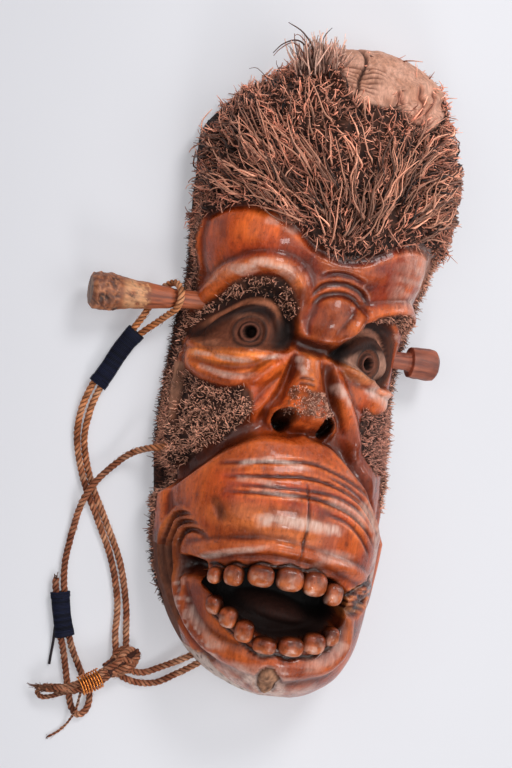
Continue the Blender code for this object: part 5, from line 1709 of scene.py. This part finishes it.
def left_peg_finish(share, turn, ring, grain, lumps, fine):
    """Bark round the tip, a peeled patch and chips behind it on the top side, pale as peeled wood and as
    painted light, and a smooth cut neck.
    """
    bark = smooth((share - 0.7) / 0.08)
    cut = smooth((0.46 - share) / 0.05)
    bumps = bark * (0.9 * lumps + 0.7 * fine) + (1 - bark) * (0.3 * grain + 0.3 * lumps * (1 - cut))
    bumps += 0.6 * bark - 0.5 * np.maximum(-fine - 0.5, 0) * bark
    patch = smooth(1.6 - np.hypot((share - 0.6) / 0.09, (np.sin(turn) - 0.9) / 0.55))
    chips = smooth(1.5 - np.hypot((share - 0.5) / 0.05, (np.sin(turn) - 0.8) / 0.5)) * (fine > 0)
    speck = 0.6 * value_noise(ring, (1.5, 1.2, 1.7), 53) + 0.6 * value_noise(ring, (0.8, 0.9, 0.9), 54)
    rough = np.maximum(bark, patch)
    # Each colour, and how much of it goes over the ones before
    washes = (
        ((172, 100, 58), smooth(0.5 + grain)),
        ((84, 44, 29), bark * (0.85 - 0.5 * smooth(0.5 + lumps))),
        ((182, 116, 80), bark * np.maximum(fine + 0.1, 0) * 0.9),
        ((44, 24, 18), bark * np.maximum(-lumps - 0.2, 0) * 1.4),
        # The pale peeled patch and chips on the top side: peeled wood, and painted light on the top of the
        # peg
        ((222, 166, 122), patch * 0.85 * smooth(0.9 + lumps)),
        ((222, 160, 110), chips * 0.7),
        ((206, 136, 92), rough * np.maximum(speck - 0.1, 0) * 1.1),
        ((44, 23, 16), rough * np.maximum(-speck - 0.1, 0) * 1.2),
        ((176, 92, 56), cut * 0.8),
        ((96, 46, 30), cut * np.maximum(-grain, 0) * 0.9),
    )
    colour = srgb(124, 64, 36)
    for wash, amount in washes:
        colour = mixed_colour(colour, srgb(*wash), amount)
    return bumps, colour


def frames_along(path):
    """Sideways and upward directions that turn as little as they can along a path."""
    ahead = unit(np.gradient(path, axis=0))
    side = np.cross(ahead[0], (0, 0, 1.0))
    if np.linalg.norm(side) < 1e-3:
        side = np.array((1.0, 0, 0))
    sides = []
    for way in ahead:
        side = unit(side - way * (side @ way))
        sides.append(side)
    sides = np.array(sides)
    return sides, np.cross(ahead, sides)


def tube(path, radius, sides=7):
    """Rings of points round a path. Each point has a radius, or a half width and a half height."""
    side, up = frames_along(path)
    size = np.asarray(radius, float).reshape(len(path), -1)
    turn = np.linspace(0, 2 * math.pi, sides, endpoint=False)
    sideways = side[:, None, :] * (np.cos(turn) * size[:, :1])[..., None]
    upward = up[:, None, :] * (np.sin(turn) * size[:, -1:])[..., None]
    return path[:, None, :] + sideways + upward


class Parcel:
    """Points, faces, colours and lay coordinates gathered for one piece."""

    def __init__(self):
        self.points = []
        self.faces = []
        self.colours = []
        self.lay = []
        self.total = 0

    def add_tube(self, rings, colour, along):
        """A closed tube from its rings. Colour is one for the tube, for each ring or for each point."""
        steps, sides, _ = rings.shape
        self.faces += closed_tube_faces(self.total + np.arange(steps * sides).reshape(steps, sides))
        self.points.append(rings.reshape(-1, 3))
        colour = np.asarray(colour, float)
        if colour.ndim < 3:
            colour = np.broadcast_to(colour.reshape(-1, 3), (steps, 3))[:, None, :]
        self.colours.append(np.broadcast_to(colour, (steps, sides, 3)).reshape(-1, 3))
        turn = np.linspace(0, 2 * math.pi, sides, endpoint=False)
        lay = np.zeros((steps, sides, 3))
        lay[:, :, 0] = np.cos(turn)
        lay[:, :, 1] = np.sin(turn)
        lay[:, :, 2] = along[:, None]
        self.lay.append(lay.reshape(-1, 3))
        self.total += steps * sides

    def piece(self, name, look):
        """The mesh object of all that was gathered."""
        obj = mesh_object(name, np.vstack(self.points), self.faces, [look])
        paint(obj, np.vstack(self.colours), lay=np.vstack(self.lay))
        return obj


def distance_along(path):
    """How far along a path each of its points is."""
    return np.concatenate([[0], np.cumsum(np.linalg.norm(np.diff(path, axis=0), axis=1))])


def values_at(distances, done, values):
    """Points or directions at these distances along a path, from those at its own points."""
    return np.stack([np.interp(distances, done, values[:, k]) for k in range(3)], 1)


def resample(path, gap):
    """Points along a path about gap apart."""
    path = np.asarray(path, float)
    done = distance_along(path)
    count = max(int(round(done[-1] / gap)), 2)
    return values_at(np.linspace(0, done[-1], count + 1), done, path)


def beside(path, side, up, sideways, upward):
    """A line that keeps these distances from a path."""
    return path + side * sideways[:, None] + up * upward[:, None]


# Blotches along the cords: their size, which pattern, then the dark and the pale colour, each with its share
CORD_WASHES = (
    (9.0, 0, (104, 54, 38), 0.8, (236, 180, 142), 0.5),
    (2.4, 9, (82, 42, 30), 0.6, (240, 196, 162), 0.4),
)


def rope_colour(path, seed):
    """Golden fibre by the pegs, browner towards the knot, with darker stretches."""
    golden = smooth((path[:, 1] + 120) / 110)
    colour = mixed_colour(srgb(164, 98, 68), srgb(198, 122, 70), golden)
    for size, step, dark, dark_share, pale, pale_share in CORD_WASHES:
        blotch = value_noise(path, size, seed + step)
        colour = mixed_colour(colour, srgb(*dark), np.maximum(blotch, 0) * dark_share)
        colour = mixed_colour(colour, srgb(*pale), np.maximum(-blotch, 0) * pale_share)
    return colour


def twist(parcel, path, diameter, seed, strands=3, pitch=10.5, sides=7, fuzz=0.35):
    """A laid rope: strands wound round the path, and a few loose fibres for each millimetre."""
    side, up = frames_along(path)
    along = distance_along(path)
    radius = diameter / 2
    thick = radius / (1 + 1 / math.sin(math.pi / strands)) * 1.02
    apart = radius - thick
    colour = rope_colour(path, seed)
    for k in range(strands):
        turn = along / pitch * 2 * math.pi + 2 * math.pi * k / strands
        line = beside(path, side, up, np.cos(turn) * apart, np.sin(turn) * apart)
        swell = thick * (1 + 0.09 * value_noise(line, 3.0, seed + k))
        rings = tube(line, swell, sides)
        # Painted shade in the grooves between the strands
        outside = np.linalg.norm(rings - path[:, None, :], axis=2) / radius
        tone = (0.8 + 0.35 * rng.random()) * (0.06 + 1.12 * smooth((outside - 0.6) / 0.4))
        parcel.add_tube(rings, colour[:, None, :] * tone[..., None], along)
    count = int(fuzz * along[-1])
    if count:
        loose_fibres(parcel, path, side, up, radius, count)


def loose_fibres(parcel, path, side, up, radius, count):
    """Thin fibres that stand off a rope."""
    at = rng.integers(2, len(path) - 3, count)
    turn = rng.uniform(0, 2 * math.pi, count)
    out = side[at] * np.cos(turn)[:, None] + up[at] * np.sin(turn)[:, None]
    ahead = unit(path[at + 1] - path[at - 1])
    reach = rng.uniform(1.5, 5.0, count)[:, None] * rng.choice((-1, 1), count)[:, None]
    high = rng.uniform(0.2, 1.5, count)[:, None]
    t = np.linspace(0, 1, 4)[:, None]
    for k in range(count):
        hair = path[at[k]] + out[k] * (radius * 0.85 + high[k] * t) + ahead[k] * reach[k] * t
        hair[:, 2] = np.maximum(hair[:, 2], 0.35)
        parcel.add_tube(tube(hair, np.linspace(0.16, 0.07, 4), 3), srgb(186, 140, 104), np.zeros(4))


def fray(parcel, start, way, count, reach):
    """Loose fibres at a cut end."""
    way = unit(way)
    t = np.linspace(0, 1, 5)[:, None]
    for _ in range(count):
        off = rng.normal(0, 0.32, 3)
        line = start + rng.normal(0, 0.7, 3) + (way + off * t) * reach * rng.uniform(0.4, 1.0) * t
        line[:, 2] = np.maximum(line[:, 2], 0.6)
        colour = srgb(120, 78, 58) * rng.uniform(0.6, 1.3)
        parcel.add_tube(tube(line, np.linspace(0.3, 0.14, 5), 4), colour, np.zeros(5))


def cord_piece(name, route, diameter, look, far_end, pitch=10.5):
    """A cord along its route."""
    smooth_line = curve_through(route, 12)
    path = resample(smooth_line, 1.1)
    parcel = Parcel()
    strands = 3 if diameter > 3 else 2
    twist(parcel, path, diameter, sum(name.encode()) % 97, strands, pitch)
    if far_end == "bare":
        fray(parcel, path[-1], path[-1] - path[-4], 14, diameter * 0.6)
    obj = parcel.piece(name + "_rope", look)
    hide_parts(name)
    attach(obj, "root")
    return obj


def coil(path, side, up, turns, per_turn):
    """Points of a coil: how far along as a share and in millimetres, how far round, and the frame there."""
    done = distance_along(path)
    t = np.linspace(0, 1, int(turns * per_turn))
    at = t * done[-1]
    frame_there = [values_at(at, done, values) for values in (path, side, up)]
    return t, at, t * turns * 2 * math.pi, frame_there


def wound(path, half_width, half_height, pitch, parcel, colour, seed, waist=0.0):
    """A thread wound round a flattened core in close turns."""
    side, _ = frames_along(path)
    side = unit(side * (1, 1, 0))
    up = np.cross(side, unit(np.gradient(path, axis=0)))
    up *= np.sign(up[:, 2:3])
    turns = distance_along(path)[-1] / pitch
    t, at, turn, (centre, side, up) = coil(path, side, up, turns, 26)
    loose = 1 - waist * np.sin(math.pi * t) + 0.02 * flat_noise(at, 0 * at, 2.5, seed)
    line = beside(centre, side, up, np.cos(turn) * half_width * loose, np.sin(turn) * half_height * loose)
    tones = mixed_colour(colour * 0.6, colour * 2.4, 0.5 + 0.6 * flat_noise(at, 0 * at, 1.3, seed + 1))
    parcel.add_tube(tube(line, np.full(len(line), THREAD / 2), 5), tones, at * 6)


# The thread's free end that hangs from the lower whipping
THREAD_TAIL = ((-140.5, -200, 3.2), (-139.6, -210, 2.6), (-139.2, -219, 1.4), (-139.0, -226, 1.2))


def whipping_piece(name, axis, look):
    """Navy thread wound over two strands, on a dark core."""
    path = resample(curve_through(axis, 8), 2.0)
    parcel = Parcel()
    navy = srgb(11, 14, 30)
    wide = WHIPPING_WIDTH / 2 - THREAD / 2
    high = WHIPPING_HEIGHT / 2 - THREAD / 2
    narrow = 1 - WAIST * np.sin(np.linspace(0, math.pi, len(path)))
    core = np.stack([narrow * wide * 0.97, narrow * high * 0.95], 1)
    parcel.add_tube(tube(path, core, 16), navy * 0.5, np.zeros(len(path)))
    wound(path, wide, high, THREAD * 0.98, parcel, navy, 70, WAIST)
    # The last turns stand a little proud where the thread is tucked in
    for first, second in ((0, 2), (-3, -1)):
        line = resample(path[[first, second]], 1.0)
        wound(line, wide * 1.03, high * 1.04, THREAD, parcel, navy, 74)
    if name == "lower_whipping":
        tail = curve_through(THREAD_TAIL, 6)
        parcel.add_tube(tube(tail, np.full(len(tail), 0.95)), srgb(34, 26, 30), np.arange(len(tail)) * 1.0)
    obj = parcel.piece(name + "_thread", look)
    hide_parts(name)
    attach(obj, "root")
    return obj


# Strands of the hitch where the two cords meet: route in face millimetres, diameter
KNOT_STRANDS = (
    ([(-105.5, -225.1, 11.1), (-100.5, -220.8, 12.8), (-95.5, -216.5, 12.9), (-93.1, -212.1, 11.8),
      (-90.4, -208.9, 9.4), (-86.5, -207.5, 6), (-82.9, -208.9, 4)], 4.9),
    ([(-105.5, -226.9, 9.4), (-99.5, -224.4, 11.5), (-92.6, -221.1, 12.9), (-87.3, -217.5, 12.5),
      (-83.4, -213.9, 10.2), (-81, -210.6, 7.2), (-82.1, -207.8, 4.7)], 4.9),
    ([(-102.5, -221.5, 6.8), (-98, -216.5, 7.7), (-96, -211.8, 7.8), (-92.6, -208.2, 6.6),
      (-88.7, -206.7, 4.2)], 4.6),
    ([(-104.5, -228, 7.2), (-98.5, -226.5, 7.8), (-91.7, -224.4, 8.1), (-86.5, -221.1, 8.3),
      (-82.5, -216.8, 7.8), (-80.7, -212.9, 5.5)], 4.6),
    ([(-98, -214.3, 6.8), (-94, -213.6, 10.6), (-89.1, -213.9, 12.5), (-84.7, -215.4, 11.1),
      (-82.1, -216.8, 7.2)], 4.4),
)
# The core inside the strands, as a share of the knot's sizes
KNOT_CORE = 0.72


def knot_piece(look):
    """The hitch: strands that pass over each other round a dark core, painted shade inside the knot."""
    parcel = Parcel()
    for k, (route, diameter) in enumerate(KNOT_STRANDS):
        path = resample(curve_through(route, 8), 0.9)
        twist(parcel, path, diameter, 30 + k, pitch=9.5, fuzz=0.6)
    core = resample(KNOT_AXIS, 1.5)
    at = np.linspace(0, len(KNOT_SIZES) - 1, len(core))
    sizes = np.stack([np.interp(at, range(len(KNOT_SIZES)), values) for values in zip(*KNOT_SIZES)], 1)
    # The core is painted dark brown as the shade inside the knot
    parcel.add_tube(tube(core, sizes * KNOT_CORE, 14), srgb(70, 38, 28), np.zeros(len(core)))
    obj = parcel.piece("hitch_knot_strands", look)
    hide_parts("hitch_knot")
    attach(obj, "root")
    return obj


# Cord ends gathered in the bundle: sideways and upward place at the wire, how far along they end,
# and how far they spread
BUNDLE_ENDS = (
    (-2.6, 1.6, 1.0, 2.2), (2.7, 1.2, 0.86, -3.2), (0.2, 3.2, 0.95, 0.4), (-2.2, -2.4, 0.8, 2.8),
    (2.4, -2.4, 0.72, -4.2), (0, -0.4, 0.9, -1.2),
)
# The end that is folded back in a hook
HOOK = (
    (-118, -240.5, 8), (-128, -243, 8.4), (-136, -246.5, 8), (-141.5, -247.5, 6.8), (-144.5, -244.8, 6.4),
    (-142.5, -242, 7.2), (-138, -242.5, 8),
)


def bundle_piece(look):
    """Folded cord ends with frayed tips."""
    parcel = Parcel()
    axis = resample(curve_through(BUNDLE_AXIS, 8), 1.0)
    side, up = frames_along(axis)
    t = np.linspace(0, 1, len(axis))
    fan = smooth((t - 0.35) / 0.5)
    for k, (sideways, upward, ends, spread) in enumerate(BUNDLE_ENDS):
        droop = smooth((t - 0.6) / 0.4) * (0.3 if upward > 0 else -0.2)
        line = beside(axis, side, up, sideways * 0.95 + spread * fan, upward * (1 - 0.35 * fan) + droop)
        line = line[t <= ends]
        line[:, 2] = np.maximum(line[:, 2], 2.4)
        twist(parcel, line, 3.9, 50 + k, pitch=9.5, sides=6, fuzz=0.5)
        fray(parcel, line[-1], line[-1] - line[-6], 12, 6.5)
    twist(parcel, resample(curve_through(HOOK, 8), 0.9), 3.6, 61, pitch=9.0, sides=6, fuzz=0.5)
    obj = parcel.piece("cord_end_strands", look)
    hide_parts("cord_end_bundle")
    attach(obj, "root")
    return obj


WIRE_TURNS = 8


def wire_piece(look):
    """Turns of copper wire round the bundle."""
    path = resample(np.array(BUNDLE_AXIS[1:4]), 1.0)
    parcel = Parcel()
    half = BUNDLE_RADIUS + GAP + WIRE / 2
    _, at, turn, (centre, side, up) = coil(path, *frames_along(path), WIRE_TURNS, 40)
    slack = 1 + 0.035 * np.sin(turn * 0.37) * np.sin(turn)
    line = beside(centre, side, up, np.cos(turn) * half * slack, np.sin(turn) * half * slack * 0.97)
    parcel.add_tube(tube(line, np.full(len(line), WIRE / 2), 9), srgb(244, 150, 70), at)
    obj = parcel.piece("copper_wire_turns", look)
    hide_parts("wire_binding")
    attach(obj, "root")
    return obj


class Look:
    """A node material built step by step."""

    def __init__(self, name):
        self.material = bpy.data.materials.new(name)
        self.material.use_nodes = True
        self.tree = self.material.node_tree
        self.shader = self.tree.nodes["Principled BSDF"]

    def set(self, **values):
        """Sets values of the shader by name."""
        for key, value in values.items():
            self.shader.inputs[key.replace("_", " ")].default_value = value

    def link(self, source, target):
        """Links an output to an input of the shader."""
        self.tree.links.new(source, self.shader.inputs[target])

    def attribute(self, name, output="Color"):
        """What the mesh carries under a name."""
        node = self.tree.nodes.new("ShaderNodeAttribute")
        node.attribute_name = name
        return node.outputs[output]

    def place(self, scale, vector=None):
        """Positions on the object, or others, at a scale for each direction."""
        node = self.tree.nodes.new("ShaderNodeMapping")
        node.inputs["Scale"].default_value = scale
        if vector is None:
            vector = self.tree.nodes.new("ShaderNodeTexCoord").outputs["Object"]
        self.tree.links.new(vector, node.inputs["Vector"])
        return node.outputs["Vector"]

    def noise(self, vector, detail, roughness, scale=1.0):
        """Random values that change gradually from place to place."""
        node = self.tree.nodes.new("ShaderNodeTexNoise")
        for key, number in (("Scale", scale), ("Detail", detail), ("Roughness", roughness)):
            node.inputs[key].default_value = number
        self.tree.links.new(vector, node.inputs["Vector"])
        return node.outputs["Fac"]

    def fit(self, value, low, high, to_low, to_high):
        """A value moved from one range to another."""
        node = self.tree.nodes.new("ShaderNodeMapRange")
        for key, number in (("From Min", low), ("From Max", high), ("To Min", to_low), ("To Max", to_high)):
            node.inputs[key].default_value = number
        self.tree.links.new(value, node.inputs["Value"])
        return node.outputs["Result"]

    def fill(self, sockets, values):
        """Gives each socket a number, a colour or a link."""
        for socket, value in zip(sockets, values):
            if isinstance(value, (int, float)):
                socket.default_value = value
            elif isinstance(value, tuple):
                socket.default_value = (*value, 1)
            else:
                self.tree.links.new(value, socket)

    def mix(self, share, first, second, blend="MIX"):
        """Mixes colours. Each is an output or a colour."""
        node = self.tree.nodes.new("ShaderNodeMix")
        node.data_type = "RGBA"
        node.blend_type = blend
        self.fill((node.inputs["Factor"], node.inputs[6], node.inputs[7]), (share, first, second))
        return node.outputs[2]

    def multiply(self, first, second):
        """Multiplies colours."""
        return self.mix(1.0, first, second, "MULTIPLY")

    def product(self, first, second):
        """Multiplies numbers."""
        node = self.tree.nodes.new("ShaderNodeMath")
        node.operation = "MULTIPLY"
        self.fill(node.inputs, (first, second))
        return node.outputs[0]

    def grained(self, grain, dark, light, smoothest, roughest, span=(0.3, 0.7)):
        """The painted colour, darker and lighter along the grain, and a roughness that follows it too."""
        tone = self.mix(self.fit(grain, *span, 0, 1), dark, light)
        self.link(self.multiply(self.attribute("paint"), tone), "Base Color")
        self.link(self.fit(grain, 0.3, 0.7, smoothest, roughest), "Roughness")

    def bump(self, height, distance, strength):
        """Lets the light fall as if the surface had this height."""
        node = self.tree.nodes.new("ShaderNodeBump")
        node.inputs["Distance"].default_value = distance
        node.inputs["Strength"].default_value = strength
        self.tree.links.new(height, node.inputs["Height"])
        self.link(node.outputs["Normal"], "Normal")


def varnish_look():
    """Stained root under a thin, slightly uneven varnish."""
    look = Look("varnished_bamboo_root")
    grain = look.noise(look.place((420, 60, 420)), 4.0, 0.6)
    pores = look.noise(look.place((1500, 420, 1500)), 2.0, 0.5)
    stain = look.noise(look.place((70, 48, 70)), 4.0, 0.65)
    tone = look.mix(look.fit(grain, 0.3, 0.7, 0, 1), (0.76, 0.7, 0.66), (1.12, 1.1, 1.08))
    cloud = look.mix(look.fit(stain, 0.35, 0.65, 0, 1), (0.86, 0.55, 0.3), (1.72, 1.36, 0.76))
    colour = look.multiply(look.multiply(look.attribute("paint"), tone), cloud)
    colour = look.mix(look.fit(pores, 0.64, 0.74, 0, 0.6), colour, (0.03, 0.011, 0.006))
    # Painted sheen: a pale colour mixed into the base colour where the mesh carries it, broken up by the
    # grain
    painted_sheen = look.product(look.attribute("painted_sheen", "Fac"), look.fit(grain, 0.3, 0.65, 0.35, 1))
    look.link(look.mix(painted_sheen, colour, (0.8, 0.56, 0.46)), "Base Color")
    look.link(look.fit(stain, 0.3, 0.7, 0.2, 0.42), "Roughness")
    look.set(Coat_Weight=0.25, Coat_Roughness=0.08, Coat_IOR=1.5, Specular_IOR_Level=0.25)
    look.bump(look.noise(look.place((240, 110, 240)), 5.0, 0.7), 0.0013, 0.6)
    return look.material


def bare_look():
    """Unvarnished root and sawn wood."""
    look = Look("bare_bamboo_root")
    grain = look.noise(look.place((500, 160, 500)), 5.0, 0.65)
    look.grained(grain, (0.6, 0.58, 0.56), (1.25, 1.22, 1.2), 0.62, 0.85)
    look.set(Specular_IOR_Level=0.25)
    look.bump(grain, 0.0012, 0.6)
    return look.material


def rootlet_look():
    """Dry wiry rootlets."""
    look = Look("dry_rootlets")
    grain = look.noise(look.place((900, 900, 900)), 2.0, 0.6)
    look.grained(grain, (0.72, 0.7, 0.68), (1.2, 1.18, 1.16), 0.45, 0.65)
    look.set(Specular_IOR_Level=0.35)
    look.bump(grain, 0.0003, 0.4)
    return look.material


def peg_look():
    """Branch wood, part bark and part peeled."""
    look = Look("peg_branch_wood")
    grain = look.noise(look.place((110, 600, 600)), 4.0, 0.6)
    look.grained(grain, (0.7, 0.66, 0.62), (1.2, 1.18, 1.14), 0.42, 0.66)
    look.bump(grain, 0.0008, 0.5)
    return look.material


def cord_look():
    """Twisted plant fibre: fine lines along each strand."""
    look = Look("plant_fibre_cord")
    lines = look.noise(look.place((3.4, 3.4, 0.22), look.attribute("lay", "Vector")), 4.0, 0.7, 1.6)
    look.grained(lines, (0.5, 0.46, 0.42), (1.3, 1.28, 1.26), 0.55, 0.8, (0.32, 0.68))
    look.set(Specular_IOR_Level=0.2)
    look.bump(lines, 0.0005, 0.8)
    return look.material


def thread_look():
    """Navy sewing thread."""
    look = Look("navy_thread")
    lines = look.noise(look.place((2.0, 2.0, 1.4), look.attribute("lay", "Vector")), 3.0, 0.6, 1.5)
    look.grained(lines, (0.4, 0.4, 0.45), (1.7, 1.7, 1.7), 0.6, 0.85)
    look.set(Specular_IOR_Level=0.2)
    look.bump(lines, 0.0002, 0.6)
    return look.material


def wire_look():
    """Bright copper wire with a little tarnish."""
    look = Look("copper_wire")
    tarnish = look.noise(look.place((260, 260, 260)), 3.0, 0.6)
    colour = look.mix(look.fit(tarnish, 0.4, 0.7, 0, 0.6), look.attribute("paint"), (0.36, 0.12, 0.03))
    look.link(colour, "Base Color")
    look.link(look.fit(tarnish, 0.3, 0.7, 0.22, 0.42), "Roughness")
    look.set(Metallic=0.85)
    look.bump(tarnish, 0.0001, 0.4)
    return look.material


FLOOR_GLOW = 0.3
FLOOR_GLOW_COLOUR = (0.93, 0.93, 0.97, 1)


def floor_look():
    """Plain pale floor, with painted shade that makes it a little darker on the left, and lit a little from
    below like a light table.
    """
    look = Look("pale_floor")
    cloud = look.noise(look.place((3, 3, 3)), 2.0, 0.5)
    paper = look.mix(look.fit(cloud, 0.3, 0.7, 0, 1), (0.494, 0.494, 0.517), (0.517, 0.517, 0.54))
    parts = look.tree.nodes.new("ShaderNodeSeparateXYZ")
    look.tree.links.new(look.tree.nodes.new("ShaderNodeTexCoord").outputs["Object"], parts.inputs[0])
    shade = look.mix(look.fit(parts.outputs["X"], -0.3, 0.0, 0, 1), (0.74, 0.74, 0.75), (1, 1, 1))
    look.link(look.multiply(paper, shade), "Base Color")
    look.set(Roughness=0.9, Specular_IOR_Level=0.1)
    look.set(Emission_Color=FLOOR_GLOW_COLOUR, Emission_Strength=FLOOR_GLOW)
    return look.material


# The photograph's size, and where the origin of the face is in it, in pixels
PHOTO = (512, 768)
FACE_PIXEL = (305, 375)
# The camera: turned in the picture and round the head's long axis, in degrees, and its distance in metres
CAMERA_TURN = 11.3
CAMERA_SIDE = 17.0
CAMERA_DISTANCE = 1.25
MM_PER_PIXEL = 0.70
FOCAL_PIXELS = CAMERA_DISTANCE / MM / MM_PER_PIXEL
SENSOR = 36.0


def camera():
    """The photograph's view."""
    turn = math.radians(CAMERA_TURN)
    side = math.radians(CAMERA_SIDE)
    right = Vector((math.cos(side), 0, math.sin(side)))
    up = Vector((0, 1, 0))
    back = Vector((-math.sin(side), 0, math.cos(side)))
    dx = PHOTO[0] / 2 - FACE_PIXEL[0]
    dy = PHOTO[1] / 2 - FACE_PIXEL[1]
    along_right = dx * math.cos(turn) + dy * math.sin(turn)
    along_up = dx * math.sin(turn) - dy * math.cos(turn)
    target = (right * along_right + up * along_up) * MM_PER_PIXEL * MM + Vector(SHIFT) * MM
    x_axis = right * math.cos(turn) + up * math.sin(turn)
    y_axis = up * math.cos(turn) - right * math.sin(turn)
    matrix = Matrix((x_axis, y_axis, back)).transposed().to_4x4()
    matrix.translation = target + back * CAMERA_DISTANCE
    data = bpy.data.cameras.new("camera")
    data.sensor_fit = "VERTICAL"
    data.sensor_height = SENSOR
    data.lens = FOCAL_PIXELS / PHOTO[1] * SENSOR
    obj = bpy.data.objects.new("camera", data)
    obj.matrix_world = matrix
    bpy.context.collection.objects.link(obj)
    bpy.context.scene.camera = obj


# Where the lamps look, in metres
LIT_PLACE = Vector((0.02, 0, 0.04))
# Lamps: place, size, power, and whether the lamp lights surfaces or only gleams in the varnish
LAMPS = (
    ("key", (0.2, 0.95, 1.15), 0.45, 11, True),
    ("right", (0.8, 0.0, 1.4), 1.2, 8.5, True),
    ("glare", (1.15, 0.45, 0.45), 0.5, 5, False),
    ("overhead", (0.14, -0.34, 1.5), 0.22, 3.5, False),
    ("front", (0.3, -1.0, 0.8), 0.4, 4.5, True),
    ("left", (-0.7, 0.1, 1.1), 0.9, 3, True),
)
SURROUND_COLOUR = (0.92, 0.93, 1, 1)
SURROUND_STRENGTH = 0.2
FLOOR_SIZE = 8


def softbox(name, place, size, power, lights):
    """A soft square lamp that looks at the head."""
    data = bpy.data.lights.new(name, "AREA")
    data.size = size
    data.energy = power
    obj = bpy.data.objects.new(name, data)
    obj.location = place
    obj.rotation_euler = (LIT_PLACE - Vector(place)).to_track_quat("-Z", "Y").to_euler()
    obj.visible_diffuse = lights
    bpy.context.collection.objects.link(obj)


def studio():
    """A pale floor, softboxes and a dim even surround."""
    bpy.ops.mesh.primitive_plane_add(size=FLOOR_SIZE)
    floor = bpy.context.object
    floor.name = "floor"
    floor.data.materials.append(floor_look())
    for lamp in LAMPS:
        softbox(*lamp)
    world = bpy.data.worlds.new("surround")
    bpy.context.scene.world = world
    world.use_nodes = True
    background = world.node_tree.nodes["Background"]
    background.inputs["Color"].default_value = SURROUND_COLOUR
    background.inputs["Strength"].default_value = SURROUND_STRENGTH
    bpy.context.scene.view_settings.view_transform = "Standard"


def main():
    """Camera and cords first, then the light, the head, its rootlets and the pegs."""
    camera()
    cord_fibre = cord_look()
    navy = thread_look()
    upper = whipping_piece("upper_whipping", UPPER_WHIP, navy)
    lower = whipping_piece("lower_whipping", LOWER_WHIP, navy)
    knot = knot_piece(cord_fibre)
    bundle = bundle_piece(cord_fibre)
    wire = wire_piece(wire_look())
    cord_piece("peg_cord", PEG_ROUTE, CORD, cord_fibre, "object")
    cord_piece("chin_cord", CHIN_ROUTE, CORD, cord_fibre, "object")
    cord_piece("cheek_cord", CHEEK_ROUTE, CORD, cord_fibre, "bare")
    cord_piece("loose_tail", TAIL_ROUTE, TAIL, cord_fibre, "bare", 6.0)
    studio()
    front = Front()
    head = head_mesh(front, varnish_look(), bare_look())
    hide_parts("head")
    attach(head, "root")
    rootlets = rootlet_look()
    crown_bed(front, rootlets)
    crown_locks(front, rootlets)
    side_rootlets(front, rootlets)
    face_stubble(front, rootlets)
    crown_tuft(rootlets)
    peg_wood = peg_look()
    peg_mesh("left_peg_wood", LEFT_PEG, LEFT_NECK, peg_wood)
    peg_mesh("right_peg_wood", RIGHT_PEG, RIGHT_NECK, peg_wood)


main()
